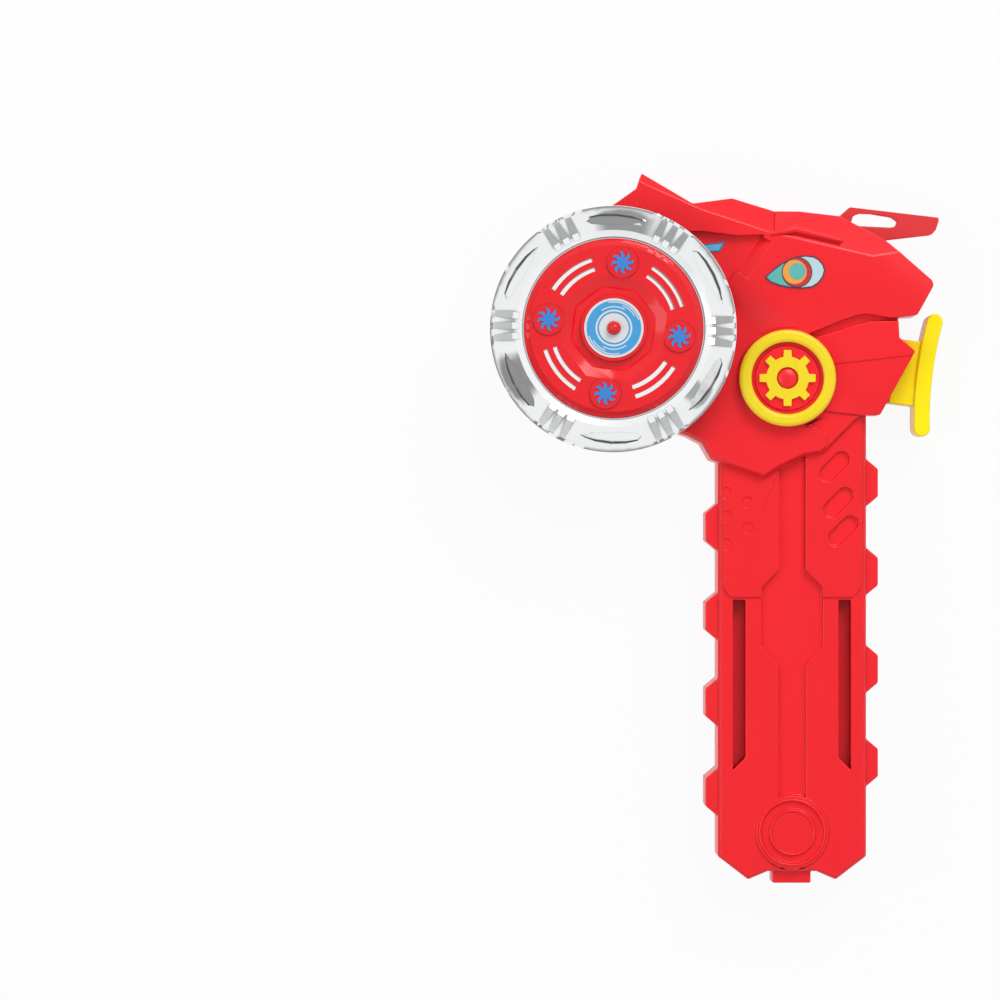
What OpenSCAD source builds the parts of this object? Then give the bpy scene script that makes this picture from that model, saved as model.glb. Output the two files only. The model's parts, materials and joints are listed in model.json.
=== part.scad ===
// Spinning top launcher: a beast-headed casing on a flat grip, a pull-out T plunger with a rack,
// a three-stage gear train, a one-way clutch and dog chuck, a brake lever and the top itself.
// The origin is where the spindle axis meets the flat back. +Z points out of the face, +Y to the
// crest of the head, +X towards the plunger. All lengths are in millimetres.

/* [Head] */
// Reach of the beak from the spindle axis; every point of the head follows it
beak_reach = 100; // [98:1:104]
// Height of the flat cheek over the back
face_z = 28.5; // [28:0.5:32]
// Height of the lower layer of the head: throat, chest and jaw
base_z = 25.2; // [24.8:0.2:26.4]
// Height of the head's outer edge
edge_z = 23.2; // [22.8:0.2:24.4]
// Height of the lip over the mouth
lip_z = 27; // [26.6:0.2:27.8]
// Height of the brow bar over the cheek
brow_rise = 1.6; // [0.8:0.2:2.4]
// Radius of the round nose about the spindle
nose_r = 19; // [18:0.5:21]
// Height of the plane where the two shells meet
split_z = 12; // [11.8:0.1:12.2]
// Thickness of the moulded walls
wall = 2; // [1.6:0.1:2.4]

/* [Grip] */
// Width of the grip without its side tabs
grip_w = 46.4; // [44:0.2:50]
// Distance of the grip's lowest points from the spindle axis
grip_end = 171.3; // [166:0.5:180]
// Height of the grip's raised upper panel
grip_z = 22; // [21.4:0.2:22.8]
// Step from the raised upper panel down to the lower panel
panel_step = 0.9; // [0.6:0.1:1.2]
// Depth of the channel down the middle
channel_depth = 1.6; // [1:0.1:2]
// Width of the wide stretch of the channel
channel_wide = 19; // [16:0.5:22]
// Width of the narrow stretches of the channel
channel_narrow = 8.3; // [7:0.1:10]
// Length of one side tab
tab_len = 15; // [12:0.5:17]
// How far a side tab stands out
tab_out = 3.8; // [3:0.1:5]
// Width of the two long slots
slot_w = 3.8; // [3.2:0.1:4.4]
// Length of the two long slots, on their outer side
slot_len = 53; // [46:1:58]
// Radius of the ringed boss at the grip's end
end_boss_r = 11.5; // [10:0.5:12.5]

/* [Gears] */
// Modules between the spindle axis and the tip of the beak, so that the gears fill the head
head_modules = 100; // [99:1:102]
// Pressure angle
pressure_angle = 25; // [22:1:27]
// Teeth of the pinion on the rack
rack_pinion_teeth = 10; // [10:1:12]
// Teeth of the large wheel beside that pinion
first_wheel_teeth = 40; // [38:1:41]
// Teeth of the small idler pinion
idler_pinion_teeth = 14; // [13:1:15]
// Teeth of the large idler wheel
idler_wheel_teeth = 42; // [40:1:43]
// Teeth of the spindle gear
spindle_teeth = 18; // [17:1:19]
// Thickness of the gear teeth along their axles
gear_thick = 3.2; // [2.8:0.1:3.4]
// Play between meshing teeth, measured along the pitch line
backlash = 0.16; // [0.1:0.02:0.24]
// Bearing of the idler axle seen from the spindle axis
idler_bearing = -7.3; // [-9:0.1:-6]
// Bearing of the layshaft seen from the idler axle
layshaft_bearing = -24.1; // [-26:0.1:-22]

/* [Plunger] */
// How far the plunger pulls out
plunger_stroke = 45; // [40:1:46]
// Tilt of the plunger, down to the right
plunger_tilt = 7; // [6:0.5:8]
// Distance of the plunger's centre line under the spindle axis
plunger_drop = 1.4; // [1:0.1:1.8]
// How far the T plate's outer face stands out from the tip of the jaw
plate_out = 7; // [6.5:0.5:10]
// Length of the T plate
plate_len = 38.4; // [34:0.2:44]
// Thickness of the T plate
plate_thick = 5; // [4:0.1:5.4]
// Width of the T plate, front to back
plate_wide = 15; // [13:0.5:17]
// How far the ends of the T plate bow out
plate_bow = 1.6; // [1:0.1:2]
// Width of the shoulder block under the plate
shoulder_w = 20.4; // [18:0.2:21]
// Length of the shoulder block
shoulder_len = 7.5; // [6:0.5:8]
// Width of the blade
blade_w = 14.3; // [13.6:0.1:15]
// Thickness of the rack bar, front to back
rack_thick = 3; // [2.8:0.1:3.2]

/* [Badge and eyes] */
// Outer radius of the badge ring
badge_r = 15; // [14:0.2:16]
// Width of the badge ring
badge_band = 3.8; // [3:0.1:4.4]
// Radius of the toothed wheel in the badge
badge_wheel_r = 8.8; // [8:0.1:9.2]
// Teeth of the toothed wheel in the badge
badge_wheel_teeth = 8; // [6:1:10]
// Length of the teardrop eye
eye_len = 18.8; // [16:0.2:20]
// Height of the teardrop eye
eye_high = 10.4; // [9:0.2:11]
// Thickness of the printed stickers
sticker = 0.3; // [0.2:0.05:0.4]

/* [Top] */
// Outer radius of the chrome ring
ring_r = 38; // [36:0.5:40]
// Radius of the red disc
disc_r = 27.6; // [26.6:0.2:28.4]
// Height of the chrome ring's rim over the back
rim_z = 36; // [35.8:0.2:37]
// Height of the chrome ring, from its rim to its inner edge
ring_high = 9; // [8:0.2:10]
// Thickness of the chrome ring's plate
ring_wall = 1.6; // [1.4:0.1:2]
// Radius of the circle of pinwheel bosses
boss_circle_r = 20.2; // [19.8:0.1:20.6]
// Radius of one pinwheel boss
boss_r = 4.7; // [4.2:0.1:5]
// Radius of the hub label
label_r = 9.1; // [8.6:0.1:9.6]
// Radius of the tip that the top spins on
tip_r = 2.05; // [1.8:0.05:2.4]
// How far the tip stands over the hub label
tip_out = 3.2; // [2.4:0.2:4]

/* [Spindle and axles] */
// Radius of the steel spindle shaft
shaft_r = 2; // [1.8:0.1:2.2]
// Radius of the fixed steel axles
axle_r = 1.5; // [1.4:0.05:1.6]
// Radius of the chuck's nose
nose_socket_r = 7.6; // [7:0.1:8]
// Number of dogs on the chuck's nose
dogs = 3; // [3:1:4]

/* [Lever] */
// Thickness of the lever, front to back
lever_thick = 2.6; // [2.2:0.1:2.8]
// How far the fin turns up
lever_swing = 4; // [3:0.5:4.5]
// Radius of the brake drum on the spindle shaft
drum_r = 6.4; // [6:0.1:6.8]

/* [Hidden] */
$fn = 48;
over = 0.5;             // overrun of cuts through a face
running = 0.05;         // radial play of a shaft in its bearing
seat = 0.02;            // radial play of a pressed or glued piece
side_gap = 0.3;         // play between neighbouring moving faces
slide_gap = 0.4;        // play round the sliding plunger
fine_fn = 96;           // segments of the large circles

// Colours
red = "#e8262b";
yellow = "#ffd600";
crimson = "#c41f3a";
chrome = "#d8dadd";
steel = "#9a9da1";
white_pom = "#eeeeea";
dark = "#2b2b2e";
blue = "#3d8fd6";

// Levels of the inside, counted up from the back
rack_lift = 2.5;
chassis_lift = 1.5;
rack_z = wall + rack_lift;
chassis_z = rack_z + rack_thick + chassis_lift;
chassis_thick = wall;
drum_z = chassis_z + chassis_thick + side_gap * 3;
drum_thick = gear_thick;
first_z = drum_z;
second_z = first_z + gear_thick + side_gap * 2;
cup_z = second_z + gear_thick;
cup_high = wall + over;
main_roof = cup_z + side_gap * 3;
bush_z = cup_z + cup_high + side_gap * 2;
chuck_z = face_z + wall;

// Module of every gear, and where the T plate's outer face ends, along the plunger
gear_module = beak_reach / head_modules;
jaw_tip_share = 0.945;
plate_reach = beak_reach * jaw_tip_share + plate_out;

// Places of the axles
idler_dist = gear_module * (idler_wheel_teeth + spindle_teeth) / 2;
layshaft_dist = gear_module * (first_wheel_teeth + idler_pinion_teeth) / 2;
idler_at = idler_dist * [cos(idler_bearing), sin(idler_bearing)];
layshaft_at = idler_at + layshaft_dist * [cos(layshaft_bearing), sin(layshaft_bearing)];

// Plunger frame: along is its way out, across its left-hand side seen from the front
along = [cos(plunger_tilt), -sin(plunger_tilt)];
across = [sin(plunger_tilt), cos(plunger_tilt)];
foot = -plunger_drop * across;
layshaft_along = (layshaft_at - foot) * along;
layshaft_across = (layshaft_at - foot) * across;

// Outline of the head in shares of beak_reach, anticlockwise from the horn's tip
horn_shares = [[0.092, 0.491], [0.076, 0.443], [0.011, 0.397], [-0.14, 0.30], [-0.11, 0.26]];
nose_from = 155;
nose_to = 250;
nose_steps = 7;
chest_shares = [[0.08, -0.28], [0.233, -0.327], [0.279, -0.351], [0.308, -0.402],
                [0.475, -0.461], [0.519, -0.431], [0.602, -0.391], [0.655, -0.383],
                [0.774, -0.262]];
jaw_shares = [[0.835, -0.262], [0.945, -0.063], [0.895, -0.02], [0.9, 0.046]];
beak_shares = [[0.95, 0.049], [1.002, 0.141], [0.998, 0.157], [0.916, 0.227]];
crest_shares = [[0.847, 0.286], [0.711, 0.359], [0.585, 0.373], [0.508, 0.373],
                [0.375, 0.414], [0.25, 0.395]];

function sized(shares) = [for (p = shares) beak_reach * p];
nose_points = [for (i = [0:nose_steps])
    let (a = nose_from + (nose_to - nose_from) * i / nose_steps) nose_r * [cos(a), sin(a)]];
head_outline = concat(sized(horn_shares), nose_points, sized(chest_shares), sized(jaw_shares),
                      sized(beak_shares), sized(crest_shares));

function unit(v) = v / norm(v);
function cross_z(a, b) = a[0] * b[1] - a[1] * b[0];
// How far a chamfer runs past an outline's corner: it stops short of a hollow one
function corner_run(before, after) = cross_z(before, after) > 0 ? over : -over;

// Cuts the chamfers along the chosen edges of an anticlockwise outline, at height top
module edge_chamfers(outline, edges, top, run, drop) {
    n = len(outline);
    for (i = edges) {
        from = outline[i];
        way = outline[(i + 1) % n] - from;
        start = corner_run(from - outline[(i + n - 1) % n], way);
        end = corner_run(way, outline[(i + 2) % n] - outline[(i + 1) % n]);
        translate([from[0], from[1], top]) rotate(bearing_of(way)) translate([-start, 0, 0])
            rotate([90, 0, 90]) linear_extrude(norm(way) + start + end)
                polygon([[0, -drop], [run, 0], [run, over], [-over, over], [-over, -drop]]);
    }
}
module chamfered_block(outline, edges, low, high, run, drop) {
    difference() {
        translate([0, 0, low]) linear_extrude(high - low) polygon(outline);
        edge_chamfers(outline, edges, high, run, drop);
    }
}
function all_edges(outline) = [0:len(outline) - 1];

// Takes away what lies above a plane that falls to the right of the line from a to b,
// seen from above, by drop over run. The line is at height z.
module slope_cut(a, b, z, run, drop) {
    big = beak_reach * 2;
    translate([a[0], a[1], z]) rotate(bearing_of(b - a)) rotate([atan(drop / run), 0, 0])
        translate([-big, -big, 0]) cube([big * 2, big, big]);
}

// Involute gears
function involute_xy(base, turn) = base * [cos(turn) + turn * PI / 180 * sin(turn),
                                           sin(turn) - turn * PI / 180 * cos(turn)];
function turn_at(base, r) = 180 / PI * sqrt(max(0, pow(r / base, 2) - 1));
function polar(r, a) = r * [cos(a), sin(a)];
function bearing_of(p) = atan2(p[1], p[0]);
addendum_share = 0.8;
dedendum_share = 1.05;
flank_steps = 5;
function tip_radius(teeth) = gear_module * (teeth / 2 + addendum_share);
function root_radius(teeth) = gear_module * (teeth / 2 - dedendum_share);
// One tooth centred on bearing zero, from root to root, anticlockwise
function tooth(teeth) =
    let (pitch = gear_module * teeth / 2,
         base = pitch * cos(pressure_angle),
         tip = tip_radius(teeth),
         root = root_radius(teeth),
         half = 90 / teeth - backlash / 4 / pitch * 180 / PI,
         at_pitch = bearing_of(involute_xy(base, turn_at(base, pitch))),
         first = turn_at(base, max(base, root)),
         last = turn_at(base, tip),
         flank = [for (i = [0:flank_steps])
             involute_xy(base, first + (last - first) * i / flank_steps)],
         right = [for (p = flank) polar(norm(p), bearing_of(p) - at_pitch - half)],
         foot_angle = bearing_of(right[0]),
         left = [for (i = [flank_steps:-1:0]) [right[i][0], -right[i][1]]])
    concat([polar(root, foot_angle)], right, left, [polar(root, -foot_angle)]);
function spin(points, a) = [for (p = points)
    [p[0] * cos(a) - p[1] * sin(a), p[0] * sin(a) + p[1] * cos(a)]];
function gear_outline(teeth, bearing) =
    [for (k = [0:teeth - 1]) each spin(tooth(teeth), bearing + 360 * k / teeth)];

module gear_disc(teeth, bearing, thick) {
    linear_extrude(thick) polygon(gear_outline(teeth, bearing));
}

// Places of the screws and posts, in shares of beak_reach
screw_shares = [[0.13, 0.37], [0.87, 0.17], [0.07, -0.2], [0.70, -0.37], [0.385, -0.38]];
grip_screw_shares = [0.53, 0.86];
post_shares = [[-0.05, 0.12], [0.11, -0.145], [0.45, 0.09], [0.33, -0.26]];
screw_r = 1.25;
screw_head_r = 2.6;
screw_head_high = 1.6;
boss_wall = 1.9;
screw_boss_r = screw_r + boss_wall;
grip_x = beak_reach * 0.563;
screw_points = concat(sized(screw_shares),
                      [for (s = grip_screw_shares) [grip_x, -grip_end * s]]);
head_room = split_z - screw_head_r - screw_head_high;
screw_reach = edge_z - wall * 3;

// Casing
lever_at = beak_reach * [0.655, 0.295];
lever_z = drum_z + side_gap;
lever_hub_r = 4.2;
pocket_inner = plate_reach - plate_thick - shoulder_len - slide_gap;
plunger_z = rack_z;
shoulder_z = plunger_z - side_gap * 2;
plate_lip = 1.5;
shoulder_high = plate_wide - plate_lip * 2;

module in_plunger_frame() {
    translate(foot) rotate(-plunger_tilt) children();
}

// Space that the plunger's shoulders and blade need in the shells
module plunger_ways() {
    in_plunger_frame() {
        translate([pocket_inner, -shoulder_w / 2 - slide_gap, shoulder_z - slide_gap])
            cube([beak_reach, shoulder_w + slide_gap * 2, shoulder_high + slide_gap * 2]);
        translate([pocket_inner - wall * 2, -blade_w / 2 - slide_gap, rack_z - slide_gap])
            cube([beak_reach, blade_w + slide_gap * 2, rack_thick + slide_gap * 2]);
    }
}

// Wall behind the shoulders, which closes the pocket off from the gears
module pocket_wall(low, high) {
    in_plunger_frame() translate([pocket_inner - wall, -beak_reach / 4, low])
        cube([wall, beak_reach / 2, high - low]);
}

tab_chamfer = 3.2;
left_tab_shares = [0.357, 0.52, 0.677, 0.841];
right_tab_shares = [0.276, 0.438, 0.616, 0.787];
module side_tab(y, side) {
    reach = grip_w / 2 + tab_out;
    translate([grip_x, y]) mirror([side < 0 ? 1 : 0, 0])
        polygon([[0, tab_len / 2 + tab_chamfer / 2], [grip_w / 2, tab_len / 2],
                 [reach, tab_len / 2 - tab_chamfer], [reach, tab_chamfer - tab_len / 2],
                 [grip_w / 2, -tab_len / 2], [0, -tab_len / 2 - tab_chamfer / 2]]);
}

corner_rise = 7.3;
end_flat = 9.5;
notch_half = 7.6;
notch_rise = 2.6;
grip_top = beak_reach * 0.24;
function grip_half_outline(side) = [[side * grip_w / 2, -grip_end + corner_rise],
                                    [side * (grip_w / 2 - end_flat), -grip_end],
                                    [side * notch_half, -grip_end + notch_rise]];
grip_outline = [for (p = [[-grip_w / 2, -grip_top], each grip_half_outline(-1),
                          for (i = [2:-1:0]) grip_half_outline(1)[i],
                          [grip_w / 2, -grip_top]]) p + [grip_x, 0]];

grip_chamfer = 1;
module grip_block(low, high) {
    chamfered_block(grip_outline, all_edges(grip_outline), low, high, grip_chamfer, grip_chamfer);
}
module tabs(low, high) {
    translate([0, 0, low]) linear_extrude(high - low) {
        for (s = left_tab_shares) side_tab(-grip_end * s, -1);
        for (s = right_tab_shares) side_tab(-grip_end * s, 1);
    }
}

module head_cavity(low, high, inset_by) {
    translate([0, 0, low]) linear_extrude(high - low) offset(delta = -inset_by)
        polygon(head_outline);
}
module grip_cavity(low, high) {
    translate([0, 0, low]) linear_extrude(high - low) offset(delta = -wall)
        polygon(grip_outline);
}

// Upper half of the head: muzzle with cheek, crest, beak and lip
crest_drop = face_z - edge_z - over * 2;
crest_run = beak_reach * 0.07;
muzzle_shares = [[0.385, 0.18], [0.33, 0.125], [0.33, -0.02], [0.44, -0.1], [0.591, -0.02],
                 [0.626, -0.005], [0.71, 0.03], [0.769, 0.05], [0.797, 0.051], [0.87, 0.039],
                 [0.95, 0.049], [1.002, 0.141], [0.998, 0.157], [0.847, 0.286], [0.711, 0.359],
                 [0.585, 0.373], [0.508, 0.373], [0.508, 0.315], [0.46, 0.29]];
ridge_shares = [[0.916, 0.206], [0.508, 0.3], [0.278, 0.375]];
beak_ridge_shares = [[0.84, 0.15], [0.8, 0.25]];
lip_shares = [[0.561, 0.064], [0.82, 0.164]];
throat_shares = [[0.38, 0.166], [0.561, 0.064]];
horn_ridge_shares = [[0.27, 0.42], [0.30, 0.25]];
module muzzle() {
    outline = sized(muzzle_shares);
    difference() {
        translate([0, 0, split_z]) linear_extrude(face_z - split_z) polygon(outline);
        slope_cut(beak_reach * ridge_shares[0], beak_reach * ridge_shares[1], face_z, crest_run, crest_drop);
        slope_cut(beak_reach * beak_ridge_shares[0], beak_reach * beak_ridge_shares[1], face_z,
                  beak_reach * 0.18, crest_drop);
        slope_cut(beak_reach * lip_shares[0], beak_reach * lip_shares[1], face_z,
                  beak_reach * 0.09, face_z - lip_z);
        slope_cut(beak_reach * throat_shares[0], beak_reach * throat_shares[1], face_z,
                  beak_reach * 0.12, face_z - base_z);
        edge_chamfers(outline, [len(outline) - 1], face_z, beak_reach * 0.04, face_z - base_z);
    }
}

// Horn, forehead and the front stretch of the crest
module forehead() {
    outline = sized([[0.092, 0.491], [0.076, 0.443], [0.011, 0.397], [-0.14, 0.30], [0.278, 0.308],
                     [0.388, 0.294], [0.455, 0.296], [0.56, 0.31], [0.56, 0.36], [0.508, 0.373],
                     [0.375, 0.414], [0.25, 0.395]]);
    difference() {
        translate([0, 0, split_z]) linear_extrude(face_z - over / 2 - split_z) polygon(outline);
        slope_cut(beak_reach * ridge_shares[1], beak_reach * ridge_shares[2], face_z - over / 2,
                  crest_run * 0.8, crest_drop);
        slope_cut(beak_reach * horn_ridge_shares[0], beak_reach * horn_ridge_shares[1],
                  face_z - over / 2, beak_reach * 0.4, crest_drop);
    }
}

// Lower layer: throat, chest and jaw, with a chamfered edge
base_chamfer = 1.2;
under_shares = [[0.89, 0.08], [0.84, 0.24], [0.55, 0.32], [0.2, 0.34]];
base_outline = concat([beak_reach * [-0.11, 0.26]], nose_points, sized(chest_shares),
                      sized([for (i = [0:2]) jaw_shares[i]]), sized(under_shares));
// Groove of the mouth, lower facet of the jaw and hollow under the jaw
mouth_shares = [[0.57, -0.04], [0.64, -0.018], [0.765, 0.021], [0.804, 0.03], [0.96, 0.034],
                [0.96, 0.09], [0.769, 0.07], [0.57, 0.0]];
jaw_facet_shares = [[0.6, -0.114], [1.0, -0.068], [1.0, -0.3], [0.6, -0.3]];
hollow_shares = [[0.58, -0.2], [0.652, -0.247], [0.774, -0.2625], [0.85, -0.45], [0.666, -0.45],
                 [0.666, -0.33], [0.6, -0.27]];
mouth_depth = 1.4;
jaw_step = 0.5;
hollow_depth = 1.3;
module base_layer() {
    seen_edges = [0:nose_steps + len(chest_shares) + 3];
    difference() {
        chamfered_block(base_outline, seen_edges, split_z, base_z, base_chamfer, base_z - edge_z);
        translate([0, 0, base_z - mouth_depth]) linear_extrude(face_z) polygon(sized(mouth_shares));
        translate([0, 0, base_z - jaw_step]) linear_extrude(face_z) polygon(sized(jaw_facet_shares));
        translate([0, 0, base_z - hollow_depth]) linear_extrude(face_z) polygon(sized(hollow_shares));
    }
}

// Ridge of the brow, chamfered on top
brow_shares = [[0.49, 0.292], [0.57, 0.302], [0.713, 0.27], [0.717, 0.286], [0.566, 0.327],
               [0.493, 0.305]];
brow_chamfer = 0.7;
module brow_bar() {
    outline = sized(brow_shares);
    chamfered_block(outline, all_edges(outline), split_z, face_z + brow_rise / 2, brow_chamfer, brow_chamfer);
}

badge_at = layshaft_at;
collar_z = face_z;
collar_r = badge_r + side_gap;
dish_depth = 1.2;
dome_r = badge_r * 2 / 3;
dome_high = dish_depth / 2;
tower_r = nose_socket_r;

module channel_2d() {
    wide = channel_wide / 2;
    narrow = channel_narrow / 2;
    translate([grip_x, 0]) polygon([[-narrow, -beak_reach * 0.38], [-narrow, -grip_end * 0.435],
        [-wide, -grip_end * 0.467], [-wide, -grip_end * 0.573], [-narrow, -grip_end * 0.608],
        [-narrow, -grip_end * 0.86], [narrow, -grip_end * 0.86], [narrow, -grip_end * 0.608],
        [wide, -grip_end * 0.573], [wide, -grip_end * 0.467], [narrow, -grip_end * 0.435],
        [narrow, -beak_reach * 0.38]]);
}
slot_x_share = 0.711;
slot_top_share = 0.49;
module long_slots_2d() {
    for (side = [-1, 1]) translate([grip_x, -grip_end * slot_top_share]) mirror([side < 0 ? 1 : 0, 0])
        translate([grip_w / 2 * slot_x_share, 0])
            polygon([[-slot_w / 2, 0], [slot_w / 2, 0], [slot_w / 2, -slot_len],
                     [-slot_w / 2, slot_w - slot_len]]);
}
obround_shares = [[0.695, -0.422], [0.707, -0.534], [0.722, -0.623]];
obround_len = 11.2;
obround_w = 5;
dimple_shares = [[0.358, -0.505], [0.423, -0.535], [0.358, -0.579], [0.426, -0.615], [0.358, -0.666]];
dimple_r = 1.8;
dimple_depth = 0.4;
module obround_2d() {
    rotate(45) hull() for (side = [-1, 1])
        translate([side * (obround_len - obround_w) / 2, 0]) circle(d = obround_w, $fn = 24);
}
end_boss_at = [grip_x, -grip_end * 0.913];
end_groove_r = 9.7;
end_inner_r = 7.3;
end_groove = 0.8;
end_tab_w = 12;
end_tab_out = 1.2;

module upper_panel() {
    reach = grip_end * 0.485;
    dip = grip_end * 0.02;
    edge = grip_w / 2 - grip_chamfer * 1.5;
    outline = [[-edge, -grip_top], [-edge, -reach + dip],
               [-grip_w / 2 + grip_chamfer * 4, -reach], [-channel_wide / 2, -reach],
               [-channel_narrow / 2, -reach + dip * 2], [channel_narrow / 2, -reach + dip * 2],
               [channel_wide / 2, -reach], [grip_w / 2 - grip_chamfer * 4, -reach],
               [edge, -reach + dip], [edge, -grip_top]];
    translate([grip_x, 0, split_z]) linear_extrude(grip_z - split_z) polygon(outline);
}

module front_solid() {
    base_layer();
    muzzle();
    forehead();
    brow_bar();
    grip_block(split_z, grip_z - panel_step);
    upper_panel();
    tabs(split_z, grip_z - panel_step * 3);
    translate([badge_at[0], badge_at[1], split_z])
        cylinder(r = collar_r, h = collar_z - split_z, $fn = fine_fn);
    translate([0, 0, split_z]) cylinder(r = tower_r, h = chuck_z - side_gap * 2 - split_z);
    translate([end_boss_at[0], end_boss_at[1], split_z])
        cylinder(r = end_boss_r, h = grip_z - split_z, $fn = fine_fn);
    translate([grip_x - end_tab_w / 2, -grip_end - end_tab_out, split_z])
        cube([end_tab_w, notch_rise + end_tab_out + over, grip_z - panel_step * 4 - split_z]);
}

module screw_bosses(low, high) {
    for (p = screw_points) translate([p[0], p[1], low]) cylinder(r = screw_boss_r, h = high - low);
}

module front_shell() color(red) {
    upper_inset = wall * 4;
    upper_roof = base_z - wall * 1.3;
    difference() {
        front_solid();
        difference() {
            union() {
                head_cavity(split_z - over, main_roof, wall);
                head_cavity(main_roof - over, upper_roof, upper_inset);
                grip_cavity(split_z - over, grip_z - panel_step - channel_depth - wall);
            }
            screw_bosses(split_z - over * 2, grip_z);
            translate([layshaft_at[0], layshaft_at[1], first_z + gear_thick + side_gap])
                cylinder(r = axle_r + wall, h = face_z);
            translate([idler_at[0], idler_at[1], cup_z + side_gap])
                cylinder(r = axle_r + wall, h = face_z);
            translate([lever_at[0], lever_at[1], lever_z + lever_thick + side_gap])
                cylinder(r = axle_r + wall, h = face_z);
            translate([0, 0, bush_z]) cylinder(r = tower_r, h = face_z);
            pocket_wall(split_z - over * 2, face_z);
        }
        translate([0, 0, grip_z - panel_step - channel_depth]) linear_extrude(face_z)
            difference() {
                channel_2d();
                polygon(sized(concat(chest_shares, [[0.4, 0]])));
                translate(end_boss_at) circle(r = end_boss_r, $fn = fine_fn);
            }
        translate([0, 0, split_z]) linear_extrude(face_z) long_slots_2d();
        for (p = sized(obround_shares)) translate([p[0], p[1], grip_z - channel_depth])
            linear_extrude(face_z) obround_2d();
        translate([end_boss_at[0], end_boss_at[1], grip_z - end_groove]) difference() {
            cylinder(r = end_groove_r, h = face_z, $fn = fine_fn);
            translate([0, 0, -over]) cylinder(r = end_inner_r, h = face_z + over * 2, $fn = fine_fn);
        }
        for (p = screw_points) translate([p[0], p[1], split_z - over])
            cylinder(r = screw_r + seat, h = screw_reach - split_z + over);
        translate([badge_at[0], badge_at[1], collar_z - dish_depth]) difference() {
            cylinder(r = badge_r - badge_band - seat, h = face_z, $fn = fine_fn);
            translate([0, 0, -over]) cylinder(r = dome_r, h = dome_high + over, $fn = fine_fn);
        }
        for (p = sized(dimple_shares)) translate([p[0], p[1], grip_z - dimple_depth])
            cylinder(r = dimple_r, h = face_z, $fn = 24);
        translate([layshaft_at[0], layshaft_at[1], split_z])
            cylinder(r = axle_r + seat, h = main_roof - split_z + wall / 2);
        translate([idler_at[0], idler_at[1], split_z])
            cylinder(r = axle_r + seat, h = base_z - wall * 1.5 - split_z);
        translate([lever_at[0], lever_at[1], split_z])
            cylinder(r = axle_r + seat, h = main_roof - split_z + wall / 2);
        translate([0, 0, bush_z - over]) cylinder(r = bush_r + seat, h = face_z);
        plunger_ways();
        lever_way();
        translate([0, 0, sticker_floor]) linear_extrude(face_z) side_eye_2d(seat);
    }
}

// Back half: plain walls, screw bosses, axle bosses, posts and the plunger's stop rib
module back_block() {
    translate([0, 0, split_z]) mirror([0, 0, 1]) {
        chamfered_block(head_outline, all_edges(head_outline), 0, split_z, grip_chamfer, grip_chamfer);
        grip_block(0, split_z);
        tabs(0, split_z - panel_step * 3);
        translate([grip_x - end_tab_w / 2, -grip_end - end_tab_out, 0])
            cube([end_tab_w, notch_rise + end_tab_out + over, split_z - panel_step * 4]);
    }
}
post_r = 3;
stop_rib_len = 3;
stop_lug_len = 4;
rack_left = layshaft_along - plunger_stroke - gear_module * PI * 2;
rib_along = rack_left + stop_lug_len + plunger_stroke + side_gap;

module back_shell() color(red) {
    difference() {
        back_block();
        difference() {
            union() {
                head_cavity(wall, split_z + over, wall);
                grip_cavity(wall, split_z + over);
            }
            screw_bosses(wall - over, split_z);
            for (p = sized(post_shares)) translate([p[0], p[1], wall - over])
                cylinder(r = post_r, h = chassis_z - wall + over);
            translate([layshaft_at[0], layshaft_at[1], wall - over])
                cylinder(r = axle_r + wall, h = rack_z - side_gap - wall + over);
            translate([lever_at[0], lever_at[1], wall - over])
                cylinder(r = axle_r + wall, h = lever_z - side_gap - wall + over);
            pocket_wall(0, split_z + over);
            in_plunger_frame() translate([rib_along, rack_back + side_gap, wall - over])
                cube([stop_rib_len, lug_out, rack_z + rack_thick - wall + over]);
        }
        for (p = screw_points) translate([p[0], p[1], -over]) {
            cylinder(r = screw_head_r + side_gap, h = head_room + over);
            cylinder(r = screw_r + side_gap, h = split_z + over * 2);
        }
        for (p = sized(post_shares)) translate([p[0], p[1], rack_z])
            cylinder(r = screw_r + seat, h = chassis_z);
        translate([layshaft_at[0], layshaft_at[1], wall / 2])
            cylinder(r = axle_r + seat, h = split_z);
        translate([lever_at[0], lever_at[1], wall / 2])
            cylinder(r = axle_r + seat, h = split_z + over);
        plunger_ways();
        lever_way();
    }
}

// Screws
module screw(length) {
    cylinder(r = screw_r, h = length, $fn = 24);
    translate([0, 0, -screw_head_high]) difference() {
        cylinder(r = screw_head_r, h = screw_head_high, $fn = 32);
        for (a = [0, 90]) rotate(a) translate([-screw_head_r * 0.6, -screw_r / 4, -over])
            cube([screw_head_r * 1.2, screw_r / 2, over + screw_head_high / 2]);
    }
}
module shell_screws() color(steel) {
    for (p = screw_points) translate([p[0], p[1], head_room])
        screw(screw_reach - head_room - over);
}
module chassis_screws() color(steel) {
    for (p = sized(post_shares)) translate([p[0], p[1], chassis_z + chassis_thick])
        mirror([0, 0, 1]) screw(chassis_z + chassis_thick - rack_z - over);
}

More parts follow.
